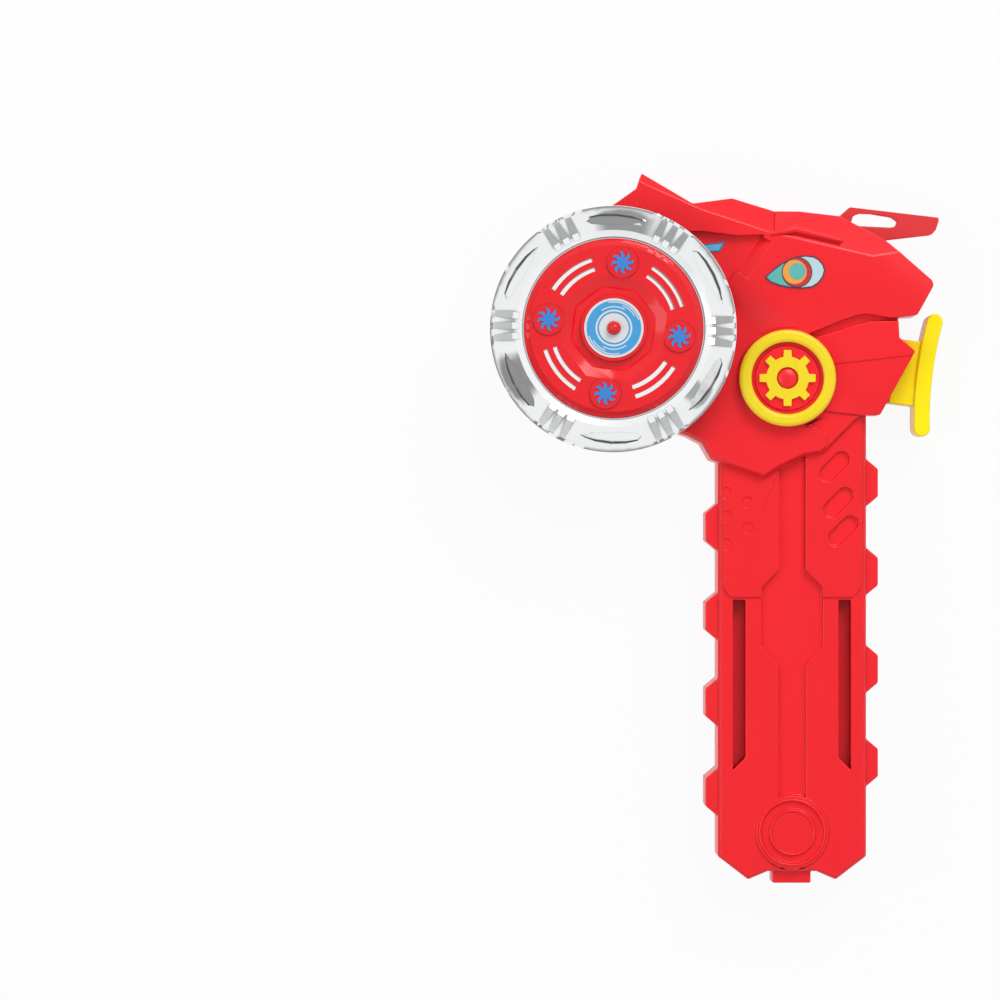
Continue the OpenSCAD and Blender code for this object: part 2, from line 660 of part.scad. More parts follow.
// Plate that carries the inner ends of the idler axle and the spindle
module gear_chassis() color(white_pom) {
    difference() {
        translate([0, 0, chassis_z]) linear_extrude(chassis_thick) hull() {
            circle(r = spindle_boss_r, $fn = 32);
            translate(layshaft_at) circle(r = tip_radius(rack_pinion_teeth) + wall * 2, $fn = 32);
            for (p = sized(post_shares)) translate(p) circle(r = post_r, $fn = 32);
        }
        translate([0, 0, chassis_z - over]) cylinder(r = shaft_r + running, h = chassis_z);
        translate([idler_at[0], idler_at[1], chassis_z - over])
            cylinder(r = axle_r + seat, h = chassis_z);
        translate([layshaft_at[0], layshaft_at[1], chassis_z - over])
            cylinder(r = tip_radius(rack_pinion_teeth) + slide_gap, h = chassis_z);
        for (p = sized(post_shares)) translate([p[0], p[1], chassis_z - over])
            cylinder(r = screw_r + seat, h = chassis_z);
    }
}
spindle_boss_r = shaft_r + wall * 2;

// Fixed axles
module layshaft_axle() color(steel) {
    translate([layshaft_at[0], layshaft_at[1], wall / 2])
        cylinder(r = axle_r, h = main_roof);
}
module idler_axle() color(steel) {
    translate([idler_at[0], idler_at[1], chassis_z])
        cylinder(r = axle_r, h = base_z - wall * 2 - chassis_z);
}
module lever_pin() color(steel) {
    translate([lever_at[0], lever_at[1], wall / 2]) cylinder(r = axle_r, h = main_roof);
}
bush_r = shaft_r + wall;
module spindle_bush() color("#b98d4f") {
    translate([0, 0, bush_z]) difference() {
        cylinder(r = bush_r, h = chuck_z - side_gap * 2 - bush_z);
        translate([0, 0, -over]) cylinder(r = shaft_r + running, h = face_z);
    }
}

// Gears
module layshaft_gear() color(white_pom) {
    translate([layshaft_at[0], layshaft_at[1], 0]) difference() {
        union() {
            translate([0, 0, rack_z]) gear_disc(rack_pinion_teeth, 90 - plunger_tilt, rack_thick);
            translate([0, 0, rack_z + rack_thick])
                cylinder(r = root_radius(rack_pinion_teeth), h = first_z - rack_z - rack_thick + over);
            translate([0, 0, first_z])
                gear_disc(first_wheel_teeth, 180 + layshaft_bearing, gear_thick);
        }
        translate([0, 0, rack_z - over]) cylinder(r = axle_r + running, h = main_roof);
        lightening(first_wheel_teeth, first_z);
    }
}
module idler_gear() color(white_pom) {
    translate([idler_at[0], idler_at[1], 0]) difference() {
        union() {
            translate([0, 0, first_z])
                gear_disc(idler_pinion_teeth, layshaft_bearing + 180 / idler_pinion_teeth, gear_thick);
            translate([0, 0, first_z + gear_thick])
                cylinder(r = root_radius(idler_pinion_teeth), h = second_z - first_z - gear_thick + over);
            translate([0, 0, second_z])
                gear_disc(idler_wheel_teeth, 180 + idler_bearing, gear_thick);
        }
        translate([0, 0, first_z - over]) cylinder(r = axle_r + running, h = main_roof);
        lightening(idler_wheel_teeth, second_z);
    }
}
// Shallow ring recess in the face of a large wheel
module lightening(teeth, z) {
    translate([0, 0, z + gear_thick - gear_module]) difference() {
        cylinder(r = root_radius(teeth) - wall, h = gear_thick, $fn = fine_fn);
        translate([0, 0, -over]) cylinder(r = gear_module * 9, h = gear_thick + over * 2);
    }
}
cup_r = gear_module * (spindle_teeth / 2 - 1.2);
ratchet_teeth = 12;
ratchet_root = cup_r - wall / 2;
ratchet_tip = ratchet_root - wall / 2;
module ratchet_2d() {
    polygon([for (i = [0:ratchet_teeth - 1], s = [0, 1])
        polar(s == 0 ? ratchet_root : ratchet_tip, 360 * (i + s * 0.98) / ratchet_teeth)]);
}
module spindle_gear() color(white_pom) {
    difference() {
        union() {
            translate([0, 0, second_z])
                gear_disc(spindle_teeth, idler_bearing + 180 / spindle_teeth, gear_thick);
            translate([0, 0, cup_z]) cylinder(r = cup_r, h = cup_high);
            translate([0, 0, drum_z + drum_thick + side_gap])
                cylinder(r = shaft_r + wall, h = second_z - drum_z - drum_thick);
        }
        translate([0, 0, cup_z]) linear_extrude(cup_high + over) ratchet_2d();
        translate([0, 0, drum_z]) cylinder(r = shaft_r + running, h = face_z);
    }
}

// Shaft, clutch pawls, drum and chuck turn together
module spindle_shaft() color(steel) {
    translate([0, 0, chassis_z]) difference() {
        cylinder(r = shaft_r, h = chuck_z + nose_high / 2 - chassis_z);
        translate([0, 0, chuck_z - chassis_z]) cylinder(r = screw_r + seat, h = nose_high);
    }
}
pawl_thick = cup_high - side_gap * 2;
pawl_r = ratchet_tip - side_gap;
module clutch_pawl() color(dark) {
    translate([0, 0, cup_z + side_gap]) difference() {
        linear_extrude(pawl_thick) difference() {
            circle(r = pawl_r);
            for (a = [0, 120, 240]) rotate(a) translate([shaft_r + wall * 0.4, 0])
                square([pawl_r, wall * 0.35]);
        }
        translate([0, 0, -over]) cylinder(r = shaft_r + seat, h = face_z);
    }
}
module brake_drum() color(dark) {
    translate([0, 0, drum_z]) difference() {
        cylinder(r = drum_r, h = drum_thick);
        translate([0, 0, -over]) cylinder(r = shaft_r + seat, h = face_z);
    }
}
nose_high = 6;
skirt_high = 2.4;
skirt_r = nose_socket_r + wall * 2;
dog_out = 2.2;
dog_wide = 4;
module nose_2d(grow) {
    circle(r = nose_socket_r + grow);
    for (i = [0:dogs - 1]) rotate(360 * i / dogs)
        translate([0, -dog_wide / 2 - grow]) square([nose_socket_r + dog_out + grow, dog_wide + grow * 2]);
}
module chuck() color(dark) {
    translate([0, 0, chuck_z]) difference() {
        union() {
            cylinder(r = skirt_r, h = skirt_high);
            linear_extrude(skirt_high + nose_high) nose_2d(0);
        }
        translate([0, 0, -over]) cylinder(r = shaft_r + seat, h = nose_high / 2 + over + seat);
        translate([0, 0, -over]) cylinder(r = screw_r + seat, h = face_z);
        translate([0, 0, nose_high]) cylinder(r = screw_head_r + side_gap, h = face_z);
    }
}
module chuck_screw() color(steel) {
    translate([0, 0, chuck_z + nose_high]) mirror([0, 0, 1])
        screw(nose_high - over);
}

// Plunger: T plate, shoulders, blade and rack in one moulding
rack_pitch_line = layshaft_across + gear_module * rack_pinion_teeth / 2;
rack_tip_line = rack_pitch_line - gear_module * addendum_share;
rack_root_line = rack_pitch_line + gear_module * dedendum_share;
rack_back = rack_root_line + wall * 2;
lug_out = 4;
circular_pitch = gear_module * PI;
blade_from = layshaft_along + tip_radius(rack_pinion_teeth) + wall;
module rack_tooth_2d() {
    half = circular_pitch / 4 - backlash / 4;
    lean = tan(pressure_angle);
    tip_half = half - (rack_pitch_line - rack_tip_line) * lean;
    root_half = half + (rack_root_line - rack_pitch_line) * lean;
    polygon([[-root_half, rack_root_line + over], [-root_half, rack_root_line],
             [-tip_half, rack_tip_line], [tip_half, rack_tip_line],
             [root_half, rack_root_line], [root_half, rack_root_line + over]]);
}
rack_teeth = floor((layshaft_along - rack_left) / circular_pitch + 1);
module plunger() color(yellow) {
    in_plunger_frame() {
        translate([0, 0, rack_z]) linear_extrude(rack_thick) difference() {
            union() {
                translate([rack_left, rack_root_line])
                    square([plate_reach - plate_thick - rack_left, rack_back - rack_root_line]);
                for (k = [0:rack_teeth]) translate([layshaft_along + circular_pitch * (1.5 - k), 0])
                    rack_tooth_2d();
                translate([blade_from + circular_pitch, -blade_w / 2])
                    square([plate_reach - plate_thick - blade_from - circular_pitch, blade_w]);
            }
        }
        translate([plate_reach - plate_thick - shoulder_len, -shoulder_w / 2, shoulder_z])
            cube([shoulder_len + over, shoulder_w, shoulder_high]);
        translate([0, 0, shoulder_z - plate_lip]) linear_extrude(plate_wide) plate_2d();
    }
}
// Seen along its edge the T plate is a bar whose ends bow away from the casing
bow_r = (pow(plate_len / 2, 2) + pow(plate_bow, 2)) / (2 * plate_bow);
bow_steps = 10;
bow_x = plate_reach - plate_bow + bow_r;
bow_half = asin((plate_len - plate_thick) / 2 / bow_r);
function bowed(r, a) = [bow_x - r * cos(a), r * sin(a)];
function bow_arc(r) = [for (i = [0:bow_steps]) bowed(r, bow_half * i / bow_steps)];
function reversed(points) = [for (i = [len(points) - 1:-1:0]) points[i]];
module plate_2d() {
    mid_r = bow_r - plate_bow + plate_thick / 2;
    out = [-cos(bow_half), sin(bow_half)];
    onward = [sin(bow_half), cos(bow_half)];
    cap = [for (a = [20:20:160])
        bowed(mid_r, bow_half) + plate_thick / 2 * (cos(a) * out + sin(a) * onward)];
    upper = concat(bow_arc(mid_r + plate_thick / 2), cap, reversed(bow_arc(mid_r - plate_thick / 2)));
    polygon(concat(upper, [for (i = [len(upper) - 2:-1:1]) [upper[i][0], -upper[i][1]]]));
}
module plunger_stop() color(dark) {
    in_plunger_frame() difference() {
        translate([rack_left - wall, rack_root_line, rack_z])
            cube([stop_lug_len + wall, rack_back - rack_root_line + lug_out, rack_thick]);
        translate([rack_left - seat, rack_root_line - over, rack_z - over])
            cube([stop_lug_len * 2, rack_back + seat - rack_root_line + over, rack_thick + over * 2]);
    }
}

// Lever: slotted fin outside, arm and brake pad inside
fin_shares = [[0.711, 0.359], [0.748, 0.392], [1.028, 0.359], [1.027, 0.346], [1.018, 0.32],
              [1.007, 0.307], [0.996, 0.303], [0.847, 0.286]];
fin_slot_shares = [[0.752, 0.342], [0.759, 0.364], [0.777, 0.371], [0.812, 0.37], [0.878, 0.359],
                   [0.896, 0.345], [0.889, 0.33], [0.872, 0.328], [0.77, 0.333]];
arm_w = 4;
arm_bend = beak_reach * [0.2, 0.25];
pad_bearing = 62;
pad_travel = lever_swing * PI / 180 * abs(cross_z(polar(1, pad_bearing), lever_at));
pad_gap = pad_travel + side_gap / 2;
pad_len = 5;
pad_thick = 2;
pad_at = polar(drum_r + pad_gap + pad_thick + arm_w / 2, pad_bearing);
module bar_2d(from, to, width) {
    way = to - from;
    translate(from) rotate(bearing_of(way)) translate([0, -width / 2]) square([norm(way), width]);
}
module fin_2d() {
    polygon(concat([lever_at + lever_hub_r * [-0.6, 0.6]], sized(fin_shares),
                   [lever_at + lever_hub_r * [-0.6, -0.6]]));
}
module lever_2d() {
    translate(lever_at) circle(r = lever_hub_r);
    bar_2d(lever_at, arm_bend, arm_w);
    bar_2d(arm_bend, pad_at, arm_w);
    translate(arm_bend) circle(d = arm_w * 1.3);
    fin_2d();
}
module release_lever() color(crimson) {
    translate([0, 0, lever_z]) difference() {
        union() {
            translate(lever_at) cylinder(r = lever_hub_r, h = lever_thick);
            linear_extrude(lever_thick) bar_2d(lever_at, arm_bend, arm_w);
            linear_extrude(lever_thick) bar_2d(arm_bend, pad_at, arm_w);
            translate(arm_bend) cylinder(d = arm_w * 1.3, h = lever_thick);
            linear_extrude(lever_thick) fin_2d();
        }
        translate([0, 0, -over]) linear_extrude(lever_thick + over * 2) polygon(sized(fin_slot_shares));
        translate([lever_at[0], lever_at[1], -over]) cylinder(r = axle_r + running, h = face_z);
    }
}
module turned_lever_2d(a) {
    translate(lever_at) rotate(a) translate(-lever_at) lever_2d();
}
// Notch in both shells where the fin comes out, wide enough for its swing
module lever_way() {
    swing_room = 2;
    translate([0, 0, lever_z - slide_gap]) linear_extrude(lever_thick + slide_gap * 2)
        intersection() {
            offset(delta = slide_gap) union() {
                turned_lever_2d(0);
                turned_lever_2d(lever_swing / 2);
                turned_lever_2d(lever_swing);
                turned_lever_2d(lever_swing + swing_room / 2);
            }
            translate([lever_at[0], 0]) square(beak_reach);
        }
}
module brake_pad() color(dark) {
    translate([pad_at[0], pad_at[1], lever_z]) rotate(pad_bearing)
        translate([-pad_thick - arm_w / 2 + seat, -pad_len / 2, 0]) cube([pad_thick, pad_len, lever_thick]);
}
spring_r = lever_hub_r;
spring_turns = 3;
spring_wire_r = side_gap;
spring_pitch = (main_roof - lever_z - lever_thick) / (spring_turns + 3);
function coil_centre(turn) = [spring_r * cos(360 * turn), spring_r * sin(360 * turn),
                              spring_pitch * turn];
module lever_spring() color(steel) {
    rings = spring_turns * 12;
    points = [for (i = [0:rings], k = [0:5]) let (turn = spring_turns * i / rings, a = 360 * turn)
        coil_centre(turn) + spring_wire_r * [cos(60 * k) * cos(a), cos(60 * k) * sin(a), sin(60 * k)]];
    sides = [for (i = [0:rings - 1], k = [0:5]) let (n = (k + 1) % 6, b = i * 6)
        [b + k, b + n, b + n + 6, b + k + 6]];
    translate([lever_at[0], lever_at[1], lever_z + lever_thick + spring_pitch * 1.5])
        polyhedron(points = points, faces = concat([[5, 4, 3, 2, 1, 0]], sides,
                   [[for (k = [0:5]) rings * 6 + k]]), convexity = 8);
}

// Badge and eyes
module badge_ring() color(yellow) {
    translate([badge_at[0], badge_at[1], collar_z]) rotate_extrude($fn = fine_fn)
        polygon([[badge_r - badge_band, 0], [badge_r, 0], [badge_r, brow_rise * 0.6],
                 [badge_r - badge_band / 4, brow_rise], [badge_r - badge_band * 3 / 4, brow_rise],
                 [badge_r - badge_band, brow_rise * 0.6]]);
}
module badge_wheel() color(yellow) {
    root = badge_wheel_r * 0.76;
    half = 360 / badge_wheel_teeth / 4;
    translate([badge_at[0], badge_at[1], collar_z - dish_depth + dome_high]) linear_extrude(dish_depth)
        difference() {
            union() {
                circle(r = root);
                for (i = [0:badge_wheel_teeth - 1]) rotate(360 * i / badge_wheel_teeth)
                    polygon([polar(root * 0.8, -half * 1.3), polar(badge_wheel_r, -half * 0.7),
                             polar(badge_wheel_r, half * 0.7), polar(root * 0.8, half * 1.3)]);
            }
            circle(r = root * 0.5);
        }
}
eye_at = beak_reach * [0.567, 0.181];
// Outline of the eye in shares of its length and height, anticlockwise from its corner
eye_shares = [[-0.5, -0.16], [-0.41, -0.31], [-0.25, -0.42], [-0.08, -0.48], [0.12, -0.5],
              [0.29, -0.46], [0.39, -0.34], [0.47, -0.15], [0.5, 0.06], [0.47, 0.23], [0.4, 0.38],
              [0.31, 0.47], [0.18, 0.5], [0.04, 0.47], [-0.08, 0.4], [-0.21, 0.28], [-0.33, 0.12],
              [-0.43, -0.03]];
module eye_2d() {
    polygon([for (p = eye_shares) [p[0] * eye_len, p[1] * eye_high]]);
}
module eye_decal() color(blue) {
    translate([eye_at[0], eye_at[1], face_z]) linear_extrude(sticker) eye_2d();
}
side_eye_shares = [[0.279, 0.268], [0.354, 0.278], [0.335, 0.246], [0.3, 0.244]];
sticker_floor = base_z;
module side_eye_2d(grow) {
    polygon(sized(side_eye_shares));
}
module side_eye_decal() color(blue) {
    translate([0, 0, base_z]) linear_extrude(sticker) side_eye_2d(0);
}

// Spinning top
web_z = rim_z + ring_high - wall * 2.2;
web_inner = boss_circle_r * 0.55;
inner_edge_r = disc_r + side_gap * 2;
module top_ring() color(chrome) {
    rim_top = rim_z + ring_high * 0.55;
    crown = rim_z + ring_high;
    difference() {
        rotate_extrude($fn = fine_fn)
            polygon([[web_inner, web_z], [inner_edge_r - wall, web_z], [ring_r - wall, rim_z],
                     [ring_r, rim_z], [ring_r, rim_top - wall / 2], [ring_r - wall / 2, rim_top],
                     [inner_edge_r + wall, crown], [inner_edge_r, crown - wall / 4],
                     [inner_edge_r, web_z + ring_wall], [web_inner, web_z + ring_wall]]);
        for (i = [0:2]) rotate(120 * i + 60) translate([screw_circle, 0, web_z - over])
            cylinder(r = screw_r + seat, h = ring_wall + over * 2);
        for (k = [0:5]) rotate(60 * k + 28.5) pocket(rim_top, crown);
    }
    for (k = [0:5], i = [-1, 0, 1]) rotate(60 * k - 1.5 + i * 6) rib(rim_top, crown);
}
// Shallow drop-shaped pocket in the ring's cone, in shares of its width and length
pocket_shares = [[-0.1, -0.5], [-0.4, -0.2], [-0.5, 0.15], [-0.4, 0.4], [-0.1, 0.5], [0.25, 0.44],
                 [0.45, 0.25], [0.5, 0], [0.35, -0.25], [0.1, -0.42]];
pocket_w = 4.4;
pocket_len = 19;
pocket_depth = 0.9;
module pocket(rim_top, crown) {
    inner = [inner_edge_r + wall, crown];
    outer = [ring_r - wall / 2, rim_top];
    middle = (inner + outer) / 2;
    translate([middle[0], 0, middle[1]]) rotate([0, -bearing_of(outer - inner), 0])
        translate([0, 0, -pocket_depth]) linear_extrude(wall * 3)
            polygon([for (p = pocket_shares) [p[0] * pocket_w, p[1] * pocket_len]]);
}
module rib(rim_top, crown) {
    from = inner_edge_r + wall / 2;
    to = ring_r - wall / 2;
    rib_w = wall;
    rib_high = wall * 0.4;
    rotate([90, 0, 0]) translate([0, 0, -rib_w / 2]) linear_extrude(rib_w)
        polygon([[from, crown - wall], [to, rim_top - wall], [to, rim_top],
                 [to - wall / 2, rim_top + rib_high], [from + wall, crown + rib_high],
                 [from, crown]]);
}
disc_low = web_z + ring_wall;
disc_face = rim_z + ring_high + wall * 0.6;
hub_r = label_r + wall / 2;
dish_r = boss_circle_r - boss_r * 0.5;
dish_low_r = hub_r + wall * 1.5;
dish_sides = 8;
hub_top = disc_face + wall / 4;
module top_disc() color(red) {
    difference() {
        union() {
            difference() {
                rotate_extrude($fn = fine_fn)
                    polygon([[0, disc_low], [disc_r, disc_low], [disc_r, disc_face - wall],
                             [disc_r - wall, disc_face], [0, disc_face]]);
                rotate(180 / dish_sides + 37.5) translate([0, 0, disc_low + wall])
                    linear_extrude(disc_face + over - disc_low - wall, scale = dish_r / dish_low_r)
                        polygon([for (k = [0:dish_sides - 1]) polar(dish_low_r, 360 * k / dish_sides)]);
            }
            translate([0, 0, disc_low]) cylinder(r = hub_r, h = hub_top - disc_low, $fn = fine_fn);
            for (i = [0:3]) rotate(82.5 + 90 * i) translate([boss_circle_r, 0, disc_low])
                cylinder(r = boss_r, h = disc_face + wall * 0.4 - disc_low);
        }
        for (i = [0:3], r = [0, 1]) rotate(37.5 + 90 * i) arc_slot(boss_circle_r + (r - 0.5) * slot_pitch + arc_shift);
        translate([0, 0, web_z]) cylinder(r = tip_r + seat, h = face_z);
        for (i = [0:2]) rotate(120 * i + 60) translate([screw_circle, 0, disc_low - over])
            cylinder(r = screw_r + seat, h = over + wall * 0.6);
    }
}
slot_pitch = 3;
arc_shift = 0.3;
arc_slot_w = 1.3;
arc_half = 20;
screw_circle = hub_r + wall * 1.6;
module arc_slot(r) {
    steps = 8;
    angles = [for (i = [0:steps]) -arc_half + 2 * arc_half * i / steps];
    translate([0, 0, disc_low - over]) linear_extrude(face_z)
        polygon(concat([for (a = angles) polar(r + arc_slot_w / 2, a)],
                       [for (i = [steps:-1:0]) polar(r - arc_slot_w / 2, angles[i])]));
}
module hub_label() color("#e8eef2") {
    translate([0, 0, hub_top]) difference() {
        cylinder(r = label_r, h = sticker, $fn = fine_fn);
        translate([0, 0, -over]) cylinder(r = tip_r + side_gap, h = wall);
    }
}
label_margin = 1;
module blade_labels() color(blue) {
    for (i = [0:3]) rotate(82.5 + 90 * i) translate([boss_circle_r, 0, disc_face + wall * 0.4])
        cylinder(r = boss_r - label_margin, h = sticker);
}
module top_tip() color(red) {
    tip_z = hub_top + sticker + tip_out;
    translate([0, 0, web_z - wall]) cylinder(r = tip_r, h = tip_z - tip_r - web_z + wall);
    translate([0, 0, tip_z - tip_r]) intersection() {
        sphere(r = tip_r);
        translate([-tip_r, -tip_r, 0]) cube(tip_r * 2);
    }
}
core_r = web_inner + wall * 1.5;
core_low = chuck_z + skirt_high + side_gap;
module top_core() color(dark) {
    difference() {
        union() {
            translate([0, 0, core_low]) cylinder(r = core_r, h = web_z - core_low, $fn = fine_fn);
            translate([0, 0, core_low]) cylinder(r = web_inner - seat, h = disc_low - core_low, $fn = fine_fn);
        }
        translate([0, 0, core_low - over]) linear_extrude(nose_high + over + side_gap)
            nose_2d(slide_gap / 2);
        translate([0, 0, web_z - wall - seat]) cylinder(r = tip_r + seat, h = face_z);
        for (i = [0:2]) rotate(120 * i + 60) translate([screw_circle, 0, 0]) {
            cylinder(r = screw_r + seat, h = face_z * 3);
            cylinder(r = screw_head_r + side_gap, h = core_low + wall * 1.5);
        }
    }
}
module top_screws() color(steel) {
    for (i = [0:2]) rotate(120 * i + 60) translate([screw_circle, 0, core_low + wall * 1.5])
        screw(disc_low + wall / 2 - core_low - wall * 1.5);
}

front_shell();
back_shell();
badge_ring();
badge_wheel();
eye_decal();
side_eye_decal();
shell_screws();
gear_chassis();
chassis_screws();
layshaft_axle();
idler_axle();
spindle_bush();
lever_pin();
lever_spring();
plunger();
plunger_stop();
layshaft_gear();
idler_gear();
spindle_gear();
spindle_shaft();
clutch_pawl();
brake_drum();
chuck();
chuck_screw();
release_lever();
brake_pad();
top_ring();
top_disc();
top_core();
hub_label();
blade_labels();
top_tip();
top_screws();
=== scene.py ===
"""Looks of the spinning top launcher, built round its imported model.

The casing, plunger, chuck, lever and top are copies of the model's solids with softened edges.
Prints, the badge's dome, the slots' floors and the end rings are modelled here. Sizes are in
millimetres and become metres in to_metres().
"""

from __future__ import annotations

import json
import logging
import math
from dataclasses import dataclass, field
from enum import Enum
from typing import Callable, Iterable, Sequence

import bmesh
import bpy
from mathutils import Matrix, Vector
from mathutils.geometry import intersect_point_line

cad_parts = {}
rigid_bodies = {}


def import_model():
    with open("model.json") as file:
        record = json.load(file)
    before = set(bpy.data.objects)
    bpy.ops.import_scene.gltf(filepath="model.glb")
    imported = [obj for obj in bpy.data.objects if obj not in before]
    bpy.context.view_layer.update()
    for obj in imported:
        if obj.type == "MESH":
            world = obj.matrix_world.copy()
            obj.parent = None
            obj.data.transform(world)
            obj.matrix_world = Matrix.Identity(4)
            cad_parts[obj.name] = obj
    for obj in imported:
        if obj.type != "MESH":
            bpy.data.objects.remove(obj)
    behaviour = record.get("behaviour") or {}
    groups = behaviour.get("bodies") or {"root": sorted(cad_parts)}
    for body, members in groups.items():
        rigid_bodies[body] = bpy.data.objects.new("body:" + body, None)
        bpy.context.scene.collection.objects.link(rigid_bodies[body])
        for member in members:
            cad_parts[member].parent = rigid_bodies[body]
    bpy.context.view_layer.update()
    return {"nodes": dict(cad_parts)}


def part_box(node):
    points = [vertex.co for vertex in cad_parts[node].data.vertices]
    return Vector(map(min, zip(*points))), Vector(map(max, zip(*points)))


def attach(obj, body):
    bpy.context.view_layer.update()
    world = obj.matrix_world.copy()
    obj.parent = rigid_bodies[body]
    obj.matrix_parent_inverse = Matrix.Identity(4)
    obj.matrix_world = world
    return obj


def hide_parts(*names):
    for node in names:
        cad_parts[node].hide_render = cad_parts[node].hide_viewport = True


log = logging.getLogger("launcher")

MM = 0.001
FACE_UP = Vector((0, 0, 1))
# Length of the stubs that the solids' chamfers leave in inner corners, how far a stub may be off
# it, and how far a level or upright edge may lean
STUB = 0.5
STUB_SLACK = 0.01
LEAN = 0.001
# Cosine from which two edges count as one line, and cosine below which a gap lies sideways
IN_LINE = 0.9
SIDEWAYS = 0.7
# Room that a rounded edge needs against its width, and the least share of the width still rounded
ROOM_TO_WIDTH = 2.2
LEAST_SHARE = 0.15
# Steps across a rounded edge, and how far the larger faces prevail in the shading
ROUND_SEGMENTS = 2
FLAT_WEIGHT = 90
# Points this close are one, in a solid's triangles and in a turned shape
WELD = 0.002
TURNED_WELD = 1e-4
# Degrees up to which joined triangles count as flat
FLAT_DEGREES = 0.5
# Steps of a full turn, degrees to a step of an arc, and its fewest steps
TURN_STEPS = 96
ARC_DEGREES = 4
ARC_STEPS = 6
# Least share by which a corner's move may be slanted
LEAST_SLANT = 0.3
# Size of the tint's patches against the worn ones
TINT_TO_WEAR = 3
# Angle in degrees from which no edge stays sharp
ALL_SMOOTH = 180


class Body(Enum):
    """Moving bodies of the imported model."""

    CASING = "casing"
    PLUNGER = "plunger"
    CHUCK = "chuck"
    LEVER = "lever"
    TOP = "top"


class Slot(Enum):
    """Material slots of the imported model."""

    RED = "red_abs"
    YELLOW = "yellow_abs"
    CRIMSON = "crimson_abs"
    CHROME = "chrome_plate"
    STEEL = "steel"
    BRONZE = "bronze"
    ACETAL = "white_pom"
    DARK = "dark_abs"
    RUBBER = "rubber"
    FILM = "printed_film"


def to_metres(size: float) -> float:
    """Turns millimetres into metres."""
    return size * MM


def to_mm(size: float) -> float:
    """Turns metres into millimetres."""
    return size / MM


def to_linear(colour: str) -> tuple[float, float, float, float]:
    """Turns an sRGB hex colour into linear RGBA.

    Args:
        colour: The colour as "#rrggbb".

    Returns:
        The linear colour with an alpha of 1.
    """
    parts = [int(colour[i : i + 2], 16) / 255 for i in (1, 3, 5)]
    linear = [p / 12.92 if p <= 0.04045 else ((p + 0.055) / 1.055) ** 2.4 for p in parts]
    return (*linear, 1.0)


def add_node(
    tree: bpy.types.NodeTree,
    kind: str,
    inputs: dict[str | int, object] | None = None,
    **settings: object,
) -> bpy.types.Node:
    """Adds one node with its settings and links.

    Args:
        tree: The node tree.
        kind: Type name of the node.
        inputs: By input name or number, a value or the output socket to link.
        settings: Attributes of the node.

    Returns:
        The new node.
    """
    node = tree.nodes.new(kind)
    for name, value in settings.items():
        setattr(node, name, value)
    for key, value in (inputs or {}).items():
        if isinstance(value, bpy.types.NodeSocket):
            tree.links.new(value, node.inputs[key])
        else:
            node.inputs[key].default_value = value
    return node


def per_metre(size_mm: float) -> float:
    """Texture scale that gives features of this size in millimetres."""
    return 1 / to_metres(size_mm)


